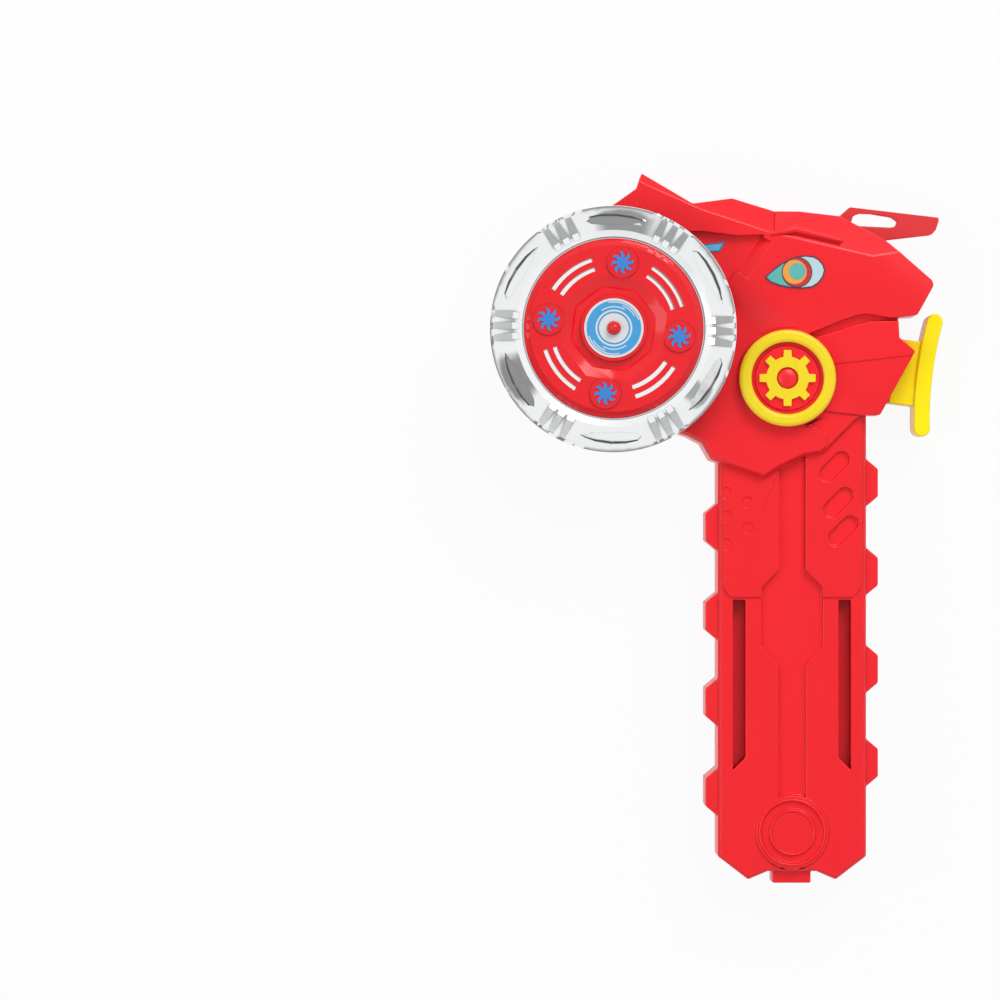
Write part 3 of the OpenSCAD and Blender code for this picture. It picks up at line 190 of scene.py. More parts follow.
@dataclass(frozen=True)
class Finish:
    """What every finish has: a name, the model's slot and the shader's plain values."""

    name: str
    slot: Slot
    colour: str
    roughness: float = 0.3
    roughness_spread: float = 0.05
    tint_spread: float = 0.04
    tint_mm: float = 18.0
    grain_mm: float = 0.9
    grain_depth_mm: float = 0.004
    metallic: float = 0.0
    ior: float = 1.5
    coat: float = 0.0
    coat_roughness: float = 0.05
    subsurface: float = 0.0
    subsurface_mm: float = 1.0
    anisotropic: float = 0.0
    # Painted shade in tight corners: its reach, the openness from shut to free, the colour's share
    corner_shade_mm: float = 1.2
    corner_shade_openness: tuple[float, float] = (0.5, 0.85)
    corner_shade_share: float = 1.0
    corner_shade_samples: int = 8

    def surface(
        self, tree: bpy.types.NodeTree, place: bpy.types.NodeSocket
    ) -> bpy.types.NodeSocket:
        """Height of the surface grain in metres.

        Args:
            tree: The material's node tree.
            place: Object coordinates.

        Returns:
            The socket that holds the height.
        """
        grain = add_node(
            tree,
            "ShaderNodeTexNoise",
            {"Vector": place, "Scale": per_metre(self.grain_mm), "Detail": 2.0, "Roughness": 0.5},
        )
        return grain.outputs["Fac"]

    def tint(self, tree: bpy.types.NodeTree, place: bpy.types.NodeSocket) -> bpy.types.NodeSocket:
        """Base colour with a moulded or plated piece's slight drift, and painted shade in corners.

        Args:
            tree: The material's node tree.
            place: Object coordinates.

        Returns:
            The socket that holds the colour.
        """
        drift = add_node(
            tree,
            "ShaderNodeTexNoise",
            {"Vector": place, "Scale": per_metre(self.tint_mm), "Detail": 3.0, "Roughness": 0.55},
        )
        value = add_node(
            tree,
            "ShaderNodeMapRange",
            {
                "Value": drift.outputs["Fac"],
                "To Min": 1 - self.tint_spread,
                "To Max": 1 + self.tint_spread,
            },
        ).outputs["Result"]
        # Painted shade: the colour's value drops where ambient occlusion finds a tight corner
        if self.corner_shade_share < 1:
            value = add_node(
                tree, "ShaderNodeMath", {0: value, 1: self.painted_corner_shade(tree)}, operation="MULTIPLY"
            ).outputs[0]
        shifted = add_node(
            tree, "ShaderNodeHueSaturation", {"Value": value, "Color": to_linear(self.colour)}
        )
        return shifted.outputs["Color"]

    def painted_corner_shade(self, tree: bpy.types.NodeTree) -> bpy.types.NodeSocket:
        """Share of the colour's value that is left, lower in tight corners as painted shade.

        Args:
            tree: The material's node tree.

        Returns:
            The socket that holds the share.
        """
        near = add_node(
            tree,
            "ShaderNodeAmbientOcclusion",
            {"Distance": to_metres(self.corner_shade_mm)},
            samples=self.corner_shade_samples,
            only_local=True,
        )
        share = add_node(
            tree,
            "ShaderNodeMapRange",
            {
                "Value": near.outputs["AO"],
                "From Min": self.corner_shade_openness[0],
                "From Max": self.corner_shade_openness[1],
                "To Min": self.corner_shade_share,
            },
        )
        return share.outputs["Result"]

    def material(self) -> bpy.types.Material:
        """Builds the material, or returns it where it is built already.

        Returns:
            The material.
        """
        known = bpy.data.materials.get(self.name)
        if known is not None:
            return known
        made = bpy.data.materials.new(self.name)
        made.use_nodes = True
        tree = made.node_tree
        tree.nodes.clear()
        place = add_node(tree, "ShaderNodeTexCoord").outputs["Object"]
        height = self.surface(tree, place)
        bump = add_node(
            tree,
            "ShaderNodeBump",
            {"Height": height, "Distance": to_metres(self.grain_depth_mm), "Strength": 1.0},
        )
        wear = add_node(
            tree,
            "ShaderNodeTexNoise",
            {
                "Vector": place,
                "Scale": per_metre(self.tint_mm / TINT_TO_WEAR),
                "Detail": 5.0,
                "Roughness": 0.6,
            },
        )
        rough = add_node(
            tree,
            "ShaderNodeMapRange",
            {
                "Value": wear.outputs["Fac"],
                "To Min": max(0.0, self.roughness - self.roughness_spread),
                "To Max": self.roughness + self.roughness_spread,
            },
        )
        shader = add_node(
            tree,
            "ShaderNodeBsdfPrincipled",
            {
                "Base Color": self.tint(tree, place),
                "Roughness": rough.outputs["Result"],
                "Metallic": self.metallic,
                "IOR": self.ior,
                "Coat Weight": self.coat,
                "Coat Roughness": self.coat_roughness,
                "Subsurface Weight": self.subsurface,
                "Subsurface Scale": to_metres(self.subsurface_mm),
                "Anisotropic": self.anisotropic,
                "Normal": bump.outputs["Normal"],
            },
        )
        add_node(tree, "ShaderNodeOutputMaterial", {"Surface": shader.outputs["BSDF"]})
        return made


@dataclass(frozen=True)
class MouldedAbs(Finish):
    """Injection-moulded ABS: glossy, with the faint orange peel of a polished mould."""

    roughness: float = 0.3
    ior: float = 1.42
    grain_mm: float = 1.6
    grain_depth_mm: float = 0.003
    # Painted shade leaves this share of the colour in tight corners
    corner_shade_share: float = 0.64


@dataclass(frozen=True)
class PlatedAbs(Finish):
    """Vacuum-plated ABS: a mirror bent by faint waves, with painted shade greying its corners."""

    roughness: float = 0.07
    roughness_spread: float = 0.02
    metallic: float = 1.0
    grain_mm: float = 9.0
    grain_depth_mm: float = 0.05
    # Painted shade: how far corners are felt, and the share of the colour left in them
    corner_shade_mm: float = 1.6
    corner_shade_share: float = 0.32


@dataclass(frozen=True)
class DrawnSteel(Finish):
    """Drawn steel: a soft metal shine with fine lines."""

    roughness: float = 0.3
    metallic: float = 1.0
    grain_mm: float = 0.5
    anisotropic: float = 0.4


@dataclass(frozen=True)
class SinteredBronze(Finish):
    """Sintered bronze: oily and finely pitted."""

    roughness: float = 0.42
    metallic: float = 1.0
    grain_mm: float = 0.4
    grain_depth_mm: float = 0.02


@dataclass(frozen=True)
class MouldedAcetal(Finish):
    """Moulded acetal: waxy white that lets some light in."""

    roughness: float = 0.38
    ior: float = 1.48
    subsurface: float = 0.15


@dataclass(frozen=True)
class MouldedRubber(Finish):
    """Moulded rubber: dull and grainy."""

    roughness: float = 0.8
    grain_mm: float = 0.5
    grain_depth_mm: float = 0.03


@dataclass(frozen=True)
class PrintedFilm(Finish):
    """Printed film: ink under a thin clear coat, with the print's fine mottling."""

    roughness: float = 0.35
    tint_spread: float = 0.1
    tint_mm: float = 2.2
    grain_mm: float = 0.7
    coat: float = 0.3


RED = MouldedAbs("Red moulded ABS", Slot.RED, "#f5202a")
# A deeper, glossier red than the casing's: partly the top's own colour, partly painted shade of its
# dish
SHADED_DISC_RED = MouldedAbs("Shaded deep red moulded ABS", Slot.RED, "#ea1a24", roughness=0.16)
YELLOW = MouldedAbs("Yellow moulded ABS", Slot.YELLOW, "#f6db22")
LEMON = MouldedAbs("Lemon moulded ABS", Slot.YELLOW, "#fff000")
CRIMSON = MouldedAbs("Crimson moulded ABS", Slot.CRIMSON, "#de383c")
CHROME = PlatedAbs("Vacuum-plated ABS", Slot.CHROME, "#f2f3f4")
STEEL = DrawnSteel("Drawn steel", Slot.STEEL, "#b4b6ba")
BRONZE = SinteredBronze("Sintered bronze", Slot.BRONZE, "#b98d4f")
ACETAL = MouldedAcetal("Moulded acetal", Slot.ACETAL, "#eeeeea")
DARK = MouldedAbs("Dark moulded ABS", Slot.DARK, "#2b2b2e", roughness=0.4)
RUBBER = MouldedRubber("Moulded rubber", Slot.RUBBER, "#1c1c1e")
FILM_SILVER = PrintedFilm("Silver printed film", Slot.FILM, "#dfe3e6", metallic=0.25)
FILM_BLUE = PrintedFilm("Blue printed film", Slot.FILM, "#3c9cd6")
FILM_DEEP_BLUE = PrintedFilm("Deep blue printed film", Slot.FILM, "#2f80d2")
FILM_NAVY = PrintedFilm("Navy printed film", Slot.FILM, "#43304f")
FILM_PALE = PrintedFilm("Pale blue printed film", Slot.FILM, "#b9d6da")
FILM_TEAL = PrintedFilm("Teal printed film", Slot.FILM, "#5ab5b0")
FILM_ORANGE = PrintedFilm("Orange printed film", Slot.FILM, "#f0a030")
FILM_RED = PrintedFilm("Red printed film", Slot.FILM, "#c8202c")
FILM_SKY = PrintedFilm("Sky blue printed film", Slot.FILM, "#62b0e0")
FILM_STEEL_BLUE = PrintedFilm("Steel blue printed film", Slot.FILM, "#2c6f9c")


Outline = Sequence[tuple[float, float]]

# Outline of the eye in shares of its length and height, anticlockwise from its corner
EYE_SHARES = [
    (-0.5, -0.16), (-0.41, -0.31), (-0.25, -0.42), (-0.08, -0.48), (0.12, -0.5), (0.29, -0.46),
    (0.39, -0.34), (0.47, -0.15), (0.5, 0.06), (0.47, 0.23), (0.4, 0.38), (0.31, 0.47),
    (0.18, 0.5), (0.04, 0.47), (-0.08, 0.4), (-0.21, 0.28), (-0.33, 0.12), (-0.43, -0.03),
]
# Outline of the second eye in shares of its length and height
SIDE_EYE_SHARES = [(-0.5, 0.206), (-0.22, -0.5), (0.247, -0.441), (0.5, 0.5)]
# One hooked pinwheel blade: share of the radius and bearing in degrees, root to root
BLADE_SHARES = [
    (0.44, -15.0), (0.68, -14.0), (0.9, -1.0), (1.0, 17.0),
    (0.83, 12.0), (0.64, 10.0), (0.48, 18.0),
]


def inset(outline: Outline, distance: float) -> Outline:
    """Moves each corner of an anticlockwise outline inwards.

    Args:
        outline: The outline.
        distance: How far its sides move.

    Returns:
        The smaller outline.
    """
    points = [Vector(point) for point in outline]
    moved = []
    for i, point in enumerate(points):
        before = (point - points[i - 1]).normalized()
        after = (points[(i + 1) % len(points)] - point).normalized()
        inward = Vector((-before.y - after.y, before.x + after.x)).normalized()
        slant = max(LEAST_SLANT, inward.dot(Vector((-before.y, before.x))))
        moved.append(tuple(point + inward * distance / slant))
    return moved


def meeting(at: Vector, way: Vector, other_at: Vector, other_way: Vector) -> Vector:
    """Point where two level lines cross, at the height of the first."""
    share = (other_at - at).cross(other_way).z / way.cross(other_way).z
    return at + way * share


def is_level(edge: bmesh.types.BMEdge) -> bool:
    """Whether an edge lies level."""
    return abs(edge.verts[0].co.z - edge.verts[1].co.z) < to_metres(LEAN)


def is_upright(edge: bmesh.types.BMEdge) -> bool:
    """Whether an edge stands upright."""
    return (edge.verts[0].co - edge.verts[1].co).xy.length < to_metres(LEAN)


def split_between(a: bmesh.types.BMVert, b: bmesh.types.BMVert) -> bool:
    """Splits the face that two corners share.

    Args:
        a: One corner.
        b: The other.

    Returns:
        Whether the corners are joined now.
    """
    if any(edge.other_vert(a) is b for edge in a.link_edges):
        return True
    shared = [face for face in a.link_faces if face in b.link_faces]
    if len(shared) != 1:
        return False
    bmesh.utils.face_split(shared[0], a, b)
    return True


def mitre(work: bmesh.types.BMesh) -> None:
    """Runs each chamfer into an inner corner, where the model's solids leave a short stub.

    Args:
        work: The mesh, in metres.
    """
    stub, near = to_metres(STUB), to_metres(STUB_SLACK)
    for corner in list(work.verts):
        if not corner.is_valid:
            continue
        sides = [
            edge
            for edge in corner.link_edges
            if is_level(edge) and abs(edge.calc_length() - stub) < near
        ]
        walls = [edge for edge in corner.link_edges if is_upright(edge)]
        if len(sides) != 2 or len(walls) != 1:
            continue
        ends = [edge.other_vert(corner) for edge in sides]
        drops = [
            [edge.other_vert(end) for edge in end.link_edges if is_upright(edge)] for end in ends
        ]
        inner = [
            [
                edge.other_vert(end)
                for edge in end.link_edges
                if is_level(edge) and edge not in sides
            ]
            for end in ends
        ]
        if any(len(found) != 1 for found in (*drops, *inner)):
            continue
        ways = [end.co - corner.co for end in ends]
        (foot_a,), (foot_b,) = drops
        (inner_a,), (inner_b,) = inner
        crossing = meeting(inner_a.co, ways[0], inner_b.co, ways[1])
        wall = walls[0]
        share = abs(foot_a.co.z - corner.co.z) / wall.calc_length()
        if not 0 < share < 1 or abs(foot_a.co.z - foot_b.co.z) > near:
            continue
        foot = bmesh.utils.edge_split(wall, corner, share)[1]
        pairs = ((foot_a, foot), (foot_b, foot), (inner_a, inner_b))
        if not all(split_between(a, b) for a, b in pairs):
            continue
        inner_a.co = crossing
        joined = {vert: inner_a for vert in (*ends, corner, inner_b)}
        joined.update({foot_a: foot, foot_b: foot})
        bmesh.ops.weld_verts(work, targetmap=joined)


def across(edge: bmesh.types.BMEdge, other: bmesh.types.BMEdge) -> float:
    """Distance sideways from an edge to one that it doesn't touch.

    Args:
        edge: The edge.
        other: The other edge.

    Returns:
        The distance in metres, infinite where the other edge lies ahead or behind.
    """
    (a, b), (c, d) = ([vert.co for vert in each.verts] for each in (edge, other))
    way = (b - a).normalized()
    least = math.inf
    for point, first, last in ((a, c, d), (b, c, d), (c, a, b), (d, a, b)):
        share = intersect_point_line(point, first, last)[1]
        gap = first.lerp(last, min(1.0, max(0.0, share))) - point
        if abs(gap.dot(way)) < SIDEWAYS * gap.length:
            least = min(least, gap.length)
    return least


def room(edge: bmesh.types.BMEdge, sharp: set[bmesh.types.BMEdge]) -> float:
    """How wide an edge can be rounded before it meets a neighbour.

    Args:
        edge: The edge.
        sharp: All edges that are rounded.

    Returns:
        The width in metres.
    """
    least = math.inf
    for vert in edge.verts:
        way = (edge.other_vert(vert).co - vert.co).normalized()
        for other in vert.link_edges:
            along = other.other_vert(vert).co - vert.co
            if other is not edge and along.dot(way) > -IN_LINE * along.length:
                least = min(least, along.cross(way).length)
    for face in edge.link_faces:
        for other in face.edges:
            if other in sharp and not any(vert in edge.verts for vert in other.verts):
                least = min(least, across(edge, other))
    return least / ROOM_TO_WIDTH


def mark_edges(work: bmesh.types.BMesh, width: float, angle: float) -> None:
    """Gives each edge that a mould rounds its share of the full width.

    Args:
        work: The mesh, in metres.
        width: The full width, in metres.
        angle: Angle in radians from which an edge is rounded.
    """
    work.normal_update()
    shares = work.edges.layers.float.new("bevel_weight_edge")
    sharp = {edge for edge in work.edges if edge.calc_face_angle(0) >= angle}
    for edge in sharp:
        share = min(1.0, room(edge, sharp) / width)
        edge[shares] = share if share >= LEAST_SHARE else 0.0


def flat_shape(outline: Outline) -> bmesh.types.BMesh:
    """A flat face from an outline.

    Args:
        outline: Points in millimetres, anticlockwise.

    Returns:
        A mesh of one face at height zero, in millimetres.
    """
    work = bmesh.new()
    work.faces.new([work.verts.new((x, y, 0)) for x, y in outline])
    work.normal_update()
    return work


def thicken(work: bmesh.types.BMesh, thickness: float) -> bmesh.types.BMesh:
    """Raises a flat mesh into a closed plate.

    Args:
        work: A flat mesh at height zero, in millimetres.
        thickness: Thickness of the plate.

    Returns:
        The same mesh.
    """
    raised = bmesh.ops.extrude_face_region(work, geom=list(work.faces))
    tops = [part for part in raised["geom"] if isinstance(part, bmesh.types.BMVert)]
    bmesh.ops.translate(work, vec=(0, 0, thickness), verts=tops)
    bmesh.ops.recalc_face_normals(work, faces=work.faces)
    return work


def disc(radius: float, segments: int) -> bmesh.types.BMesh:
    """A flat disc.

    Args:
        radius: Its radius in millimetres.
        segments: Steps round it.

    Returns:
        A mesh of one face at height zero, in millimetres.
    """
    work = bmesh.new()
    bmesh.ops.create_circle(work, cap_ends=True, radius=radius, segments=segments)
    return work


def turned(
    work: bmesh.types.BMesh,
    parts: Sequence[bmesh.types.BMVert | bmesh.types.BMEdge],
    angle: float,
    steps: int,
) -> bmesh.types.BMesh:
    """Turns corners and edges round the Z axis into faces.

    Args:
        work: The mesh that they are in, in millimetres.
        parts: The corners and edges.
        angle: Angle of the turn in radians.
        steps: Steps of the turn.

    Returns:
        The same mesh.
    """
    bmesh.ops.spin(
        work,
        geom=list(parts),
        cent=(0, 0, 0),
        axis=FACE_UP,
        dvec=(0, 0, 0),
        angle=angle,
        steps=steps,
        use_merge=angle >= math.tau,
        use_duplicate=False,
    )
    bmesh.ops.remove_doubles(work, verts=work.verts, dist=TURNED_WELD)
    bmesh.ops.recalc_face_normals(work, faces=work.faces)
    return work


def arc_band(inner: float, outer: float, first: float, last: float) -> bmesh.types.BMesh:
    """A flat band along an arc.

    Args:
        inner: Inner radius in millimetres.
        outer: Outer radius.
        first: Bearing where the band starts, in degrees.
        last: Bearing where it ends.

    Returns:
        A flat mesh, closed into a ring where the band goes all the way round.
    """
    work = bmesh.new()
    start = Matrix.Rotation(math.radians(first), 3, "Z")
    ends = [work.verts.new(start @ Vector((r, 0, 0))) for r in (inner, outer)]
    parts = [*ends, work.edges.new(ends)]
    steps = max(ARC_STEPS, int(abs(last - first) / ARC_DEGREES))
    turned(work, parts, math.radians(last - first), steps)
    if work.faces[:][0].normal.z < 0:
        bmesh.ops.reverse_faces(work, faces=work.faces)
    return work


def lathe(profile: Outline) -> bmesh.types.BMesh:
    """Turns a closed profile round the Z axis.

    Args:
        profile: Radius and height of each point, in millimetres.

    Returns:
        A closed mesh in millimetres.
    """
    work = bmesh.new()
    points = [work.verts.new((r, 0, z)) for r, z in profile]
    edges = [work.edges.new((points[i - 1], points[i])) for i in range(len(points))]
    return turned(work, [*points, *edges], math.tau, TURN_STEPS)


@dataclass
class Workshop:
    """Turns meshes into pieces that ride on the model's bodies."""

    nodes: dict[str, bpy.types.Object]
    pieces: list[str] = field(default_factory=list)

    def dress(self, finish: Finish, *names: str) -> None:
        """Gives CAD nodes a finish.

        Args:
            finish: The finish.
            names: The nodes.
        """
        for name in names:
            data = self.nodes[name].data
            data.materials.clear()
            data.materials.append(finish.material())
            log.info("dressed %s in %s", name, finish.name)

    def add(
        self,
        name: str,
        work: bmesh.types.BMesh,
        finish: Finish,
        body: Body,
        at: Vector | None = None,
        scale: float = MM,
        sharp: float = 30.0,
        replaces: Iterable[str] = (),
    ) -> bpy.types.Object:
        """Makes a piece from a mesh.

        Args:
            name: Name of the piece.
            work: The mesh, which is freed.
            finish: Its finish.
            body: The body it moves with.
            at: Where the mesh's own origin goes, in metres.
            scale: Metres to one unit of the mesh.
            sharp: Angle in degrees from which an edge stays sharp.
            replaces: CAD nodes that the piece stands for.

        Returns:
            The piece.
        """
        bmesh.ops.scale(work, vec=(scale, scale, scale), verts=work.verts)
        if at is not None:
            bmesh.ops.translate(work, vec=at, verts=work.verts)
        for face in work.faces:
            face.smooth = True
        data = bpy.data.meshes.new(name)
        work.to_mesh(data)
        work.free()
        data.set_sharp_from_angle(angle=math.radians(sharp))
        data.materials.append(finish.material())
        piece = bpy.data.objects.new(name, data)
        bpy.context.scene.collection.objects.link(piece)
        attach(piece, body.value)
        if replaces:
            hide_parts(*replaces)
        self.pieces.append(name)
        log.info("built %s in %s", name, finish.name)
        return piece

    def merged(self, node: str) -> bmesh.types.BMesh:
        """A copy of a CAD node with its triangles joined into faces.

        Args:
            node: The node's name.

        Returns:
            The mesh, in metres.
        """
        work = bmesh.new()
        work.from_mesh(self.nodes[node].data)
        bmesh.ops.remove_doubles(work, verts=work.verts, dist=to_metres(WELD))
        bmesh.ops.dissolve_limit(
            work,
            angle_limit=math.radians(FLAT_DEGREES),
            use_dissolve_boundaries=False,
            verts=work.verts,
            edges=work.edges,
            delimit=set(),
        )
        return work

    def softened(
        self,
        node: str,
        finish: Finish,
        body: Body,
        edge: float,
        angle: float = 24.0,
        mend: Callable[[bmesh.types.BMesh], None] | None = None,
        fitted: bool = True,
    ) -> None:
        """Makes a copy of a CAD node whose edges are rounded as a mould rounds them.

        Args:
            node: The node's name.
            finish: Its finish.
            body: The body it moves with.
            edge: Width of the rounding in millimetres.
            angle: Angle in degrees from which an edge is rounded.
            mend: What mends the mesh before the rounding.
            fitted: Whether each edge gets the width that it has room for, or all get the width
                that the tightest one has.
        """
        work = self.merged(node)
        if mend is not None:
            mend(work)
        if fitted:
            mark_edges(work, to_metres(edge), math.radians(angle))
        name = f"{node}_finished"
        piece = self.add(name, work, finish, body, scale=1, sharp=ALL_SMOOTH, replaces=[node])
        bevel = piece.modifiers.new("Moulded edges", "BEVEL")
        bevel.width = to_metres(edge)
        bevel.segments = ROUND_SEGMENTS
        bevel.limit_method = "WEIGHT" if fitted else "ANGLE"
        bevel.angle_limit = math.radians(angle)
        bevel.use_clamp_overlap = not fitted
        flat = piece.modifiers.new("Flat faces stay flat", "WEIGHTED_NORMAL")
        flat.mode = "FACE_AREA"
        flat.weight = FLAT_WEIGHT
        flat.keep_sharp = True


def middle(node: str) -> Vector:
    """Middle of a CAD node's box, in metres."""
    low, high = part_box(node)
    return (low + high) / 2


def underside(node: str) -> float:
    """Lowest height of a CAD node, in metres."""
    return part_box(node)[0].z


def footprint(node: str) -> tuple[Vector, Vector]:
    """Place and size of a CAD node that lies flat.

    Args:
        node: The node's name.

    Returns:
        The middle of its underside in metres, and its size in millimetres.
    """
    low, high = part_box(node)
    base = Vector(((low.x + high.x) / 2, (low.y + high.y) / 2, low.z))
    return base, (high - low) / MM


@dataclass
class Studio:
    """Camera, pale floor and soft light."""

    eye_mm: tuple[float, float, float] = (-34.9, -52.7, 1400.0)
    focus_height_mm: float = 20.0
    pixels_per_mm: float = 3.2
    frame_pixels: float = 1000.0
    sensor_mm: float = 36.0
    sight_m: float = 20.0
    floor_size_mm: float = 6000.0
    floor_gap_mm: float = 0.2
    floor_colour: str = "#e6e6e6"
    floor_burnt: float = 0.93
    lamp_size_mm: float = 900.0
    key_at_mm: tuple[float, float, float] = (500.0, 1100.0, 1300.0)
    key_watts: float = 16.0
    fill_at_mm: tuple[float, float, float] = (-1000.0, -200.0, 1200.0)
    fill_watts: float = 5.0
    lit_mm: tuple[float, float, float] = (30.0, -40.0, 0.0)
    world_strength: float = 0.62
    world_seen: float = 1.0
    # Height of the direction, and how bright the room is there
    room_tones: tuple[tuple[float, float], ...] = (
        (0.0, 0.2),
        (0.12, 0.45),
        (0.3, 0.95),
        (0.9, 1.0),
        (0.97, 0.45),
    )
    # Darker and brighter places of the room: bearing, height and reach in degrees, and their tone
    # against the rest. The bright one overhead shows only in the top's flat plating.
    places: tuple[tuple[float, float, float, float], ...] = (
        (56.0, 87.3, 4.0, 2.2),
        (82.0, 26.0, 16.0, 0.35),
        (205.0, 26.0, 15.0, 0.3),
        (325.0, 26.0, 7.0, 0.45),
    )

    def build(self) -> None:
        """Sets up the camera, floor, lamps and world."""
        self.camera()
        self.floor()
        self.lamp("Key light", self.key_at_mm, self.key_watts)
        self.lamp("Fill light", self.fill_at_mm, self.fill_watts)
        self.world()
        bpy.context.scene.view_settings.view_transform = "Standard"
        log.info("studio is set")

    def camera(self) -> None:
        """Places the camera straight above, as in the photograph."""
        data = bpy.data.cameras.new("Camera")
        distance = self.eye_mm[2] - self.focus_height_mm
        data.sensor_width = self.sensor_mm
        data.lens = self.sensor_mm * distance / (self.frame_pixels / self.pixels_per_mm)
        data.clip_end = self.sight_m
        camera = bpy.data.objects.new("Camera", data)
        camera.location = Vector(self.eye_mm) * MM
        bpy.context.scene.collection.objects.link(camera)
        bpy.context.scene.camera = camera

    def floor(self) -> None:
        """Lays the pale floor."""
        work = bmesh.new()
        bmesh.ops.create_grid(
            work, x_segments=1, y_segments=1, size=to_metres(self.floor_size_mm) / 2
        )
        data = bpy.data.meshes.new("Floor")
        work.to_mesh(data)
        work.free()
        floor = bpy.data.objects.new("Floor", data)
        floor.location.z = -to_metres(self.floor_gap_mm)
        data.materials.append(self.paper())
        bpy.context.scene.collection.objects.link(floor)

    def paper(self) -> bpy.types.Material:
        """White paper: burnt out for the camera but for a trace of shadow, duller for its bounce.

        Returns:
            The material.
        """
        paper = bpy.data.materials.new("White paper")
        paper.use_nodes = True
        tree = paper.node_tree
        tree.nodes.clear()
        dull = add_node(tree, "ShaderNodeBsdfDiffuse", {"Color": to_linear(self.floor_colour)})
        burnt = add_node(tree, "ShaderNodeEmission", {"Color": (1, 1, 1, 1), "Strength": 1.0})
        share = add_node(
            tree,
            "ShaderNodeMath",
            {0: self.seen(tree), 1: self.floor_burnt},
            operation="MULTIPLY",
        )
        mixed = add_node(
            tree,
            "ShaderNodeMixShader",
            {0: share.outputs[0], 1: dull.outputs["BSDF"], 2: burnt.outputs["Emission"]},
        )
        add_node(tree, "ShaderNodeOutputMaterial", {"Surface": mixed.outputs["Shader"]})
        return paper

    def seen(self, tree: bpy.types.NodeTree) -> bpy.types.NodeSocket:
        """One for camera, mirror and glass rays, nought for the rays that only light things.

        Args:
            tree: The node tree.

        Returns:
            The socket that holds it.
        """
        path = add_node(tree, "ShaderNodeLightPath")
        seen = add_node(
            tree,
            "ShaderNodeMath",
            {0: path.outputs["Is Camera Ray"], 1: path.outputs["Is Glossy Ray"]},
            operation="MAXIMUM",
        )
        seen = add_node(
            tree,
            "ShaderNodeMath",
            {0: seen.outputs[0], 1: path.outputs["Is Transmission Ray"]},
            operation="MAXIMUM",
        )
        return seen.outputs[0]

    def lamp(self, name: str, at_mm: tuple[float, float, float], watts: float) -> None:
        """Hangs a soft lamp that points at the object.

        Args:
            name: Name of the lamp.
            at_mm: Its place.
            watts: Its power.
        """
        data = bpy.data.lights.new(name, "AREA")
        data.energy = watts
        data.shape = "SQUARE"
        data.size = to_metres(self.lamp_size_mm)
        lamp = bpy.data.objects.new(name, data)
        lamp.location = Vector(at_mm) * MM
        aim = Vector(self.lit_mm) * MM - lamp.location
        lamp.rotation_euler = aim.to_track_quat("-Z", "Y").to_euler()
        bpy.context.scene.collection.objects.link(lamp)

    def shade(
        self,
        tree: bpy.types.NodeTree,
        direction: bpy.types.NodeSocket,
        bearing: float,
        height: float,
        reach: float,
        tone: float,
    ) -> bpy.types.NodeSocket:
        """A darker or brighter place of the room, which draws a streak in the plating.

        Args:
            tree: The world's node tree.
            direction: The way that a ray leaves.
            bearing: Bearing of the place in degrees.
            height: Its height over the floor in degrees.
            reach: Degrees from its middle to where it has faded.
            tone: How bright its middle is against the rest.

        Returns:
            The socket that holds the share of light left.
        """
        turn, rise = math.radians(bearing), math.radians(height)
        aim = (math.cos(turn) * math.cos(rise), math.sin(turn) * math.cos(rise), math.sin(rise))
        near = add_node(
            tree, "ShaderNodeVectorMath", {0: direction, 1: aim}, operation="DOT_PRODUCT"
        )
        fade = add_node(
            tree,
            "ShaderNodeMapRange",
            {
                "Value": near.outputs["Value"],
                "From Min": math.cos(math.radians(reach)),
                "From Max": math.cos(math.radians(reach / 2)),
                "To Min": 1.0,
                "To Max": tone,
            },
            interpolation_type="SMOOTHSTEP",
        )
        return fade.outputs["Result"]

    def world(self) -> None:
        """Fills the room with even light, darker low down and in a few places."""
        world = bpy.data.worlds.new("Studio")
        world.use_nodes = True
        tree = world.node_tree
        tree.nodes.clear()
        direction = add_node(tree, "ShaderNodeTexCoord").outputs["Generated"]
        height = add_node(tree, "ShaderNodeSeparateXYZ", {"Vector": direction}).outputs["Z"]
        ramp = add_node(tree, "ShaderNodeValToRGB", {"Fac": height})
        stops = ramp.color_ramp.elements
        stops[0].position, stops[1].position = self.room_tones[0][0], self.room_tones[-1][0]
        for level, _ in self.room_tones[1:-1]:
            stops.new(level)
        for stop, (_, tone) in zip(stops, self.room_tones, strict=True):
            stop.color = (tone, tone, tone, 1)
        strength = add_node(
            tree,
            "ShaderNodeMapRange",
            {"Value": self.seen(tree), "To Min": self.world_strength, "To Max": self.world_seen},
        ).outputs["Result"]
        for place in self.places:
            strength = add_node(
                tree,
                "ShaderNodeMath",
                {0: strength, 1: self.shade(tree, direction, *place)},
                operation="MULTIPLY",
            ).outputs[0]
        sky = add_node(
            tree,
            "ShaderNodeBackground",
            {"Color": ramp.outputs["Color"], "Strength": strength},
        )
        add_node(tree, "ShaderNodeOutputWorld", {"Surface": sky.outputs["Background"]})
        bpy.context.scene.world = world


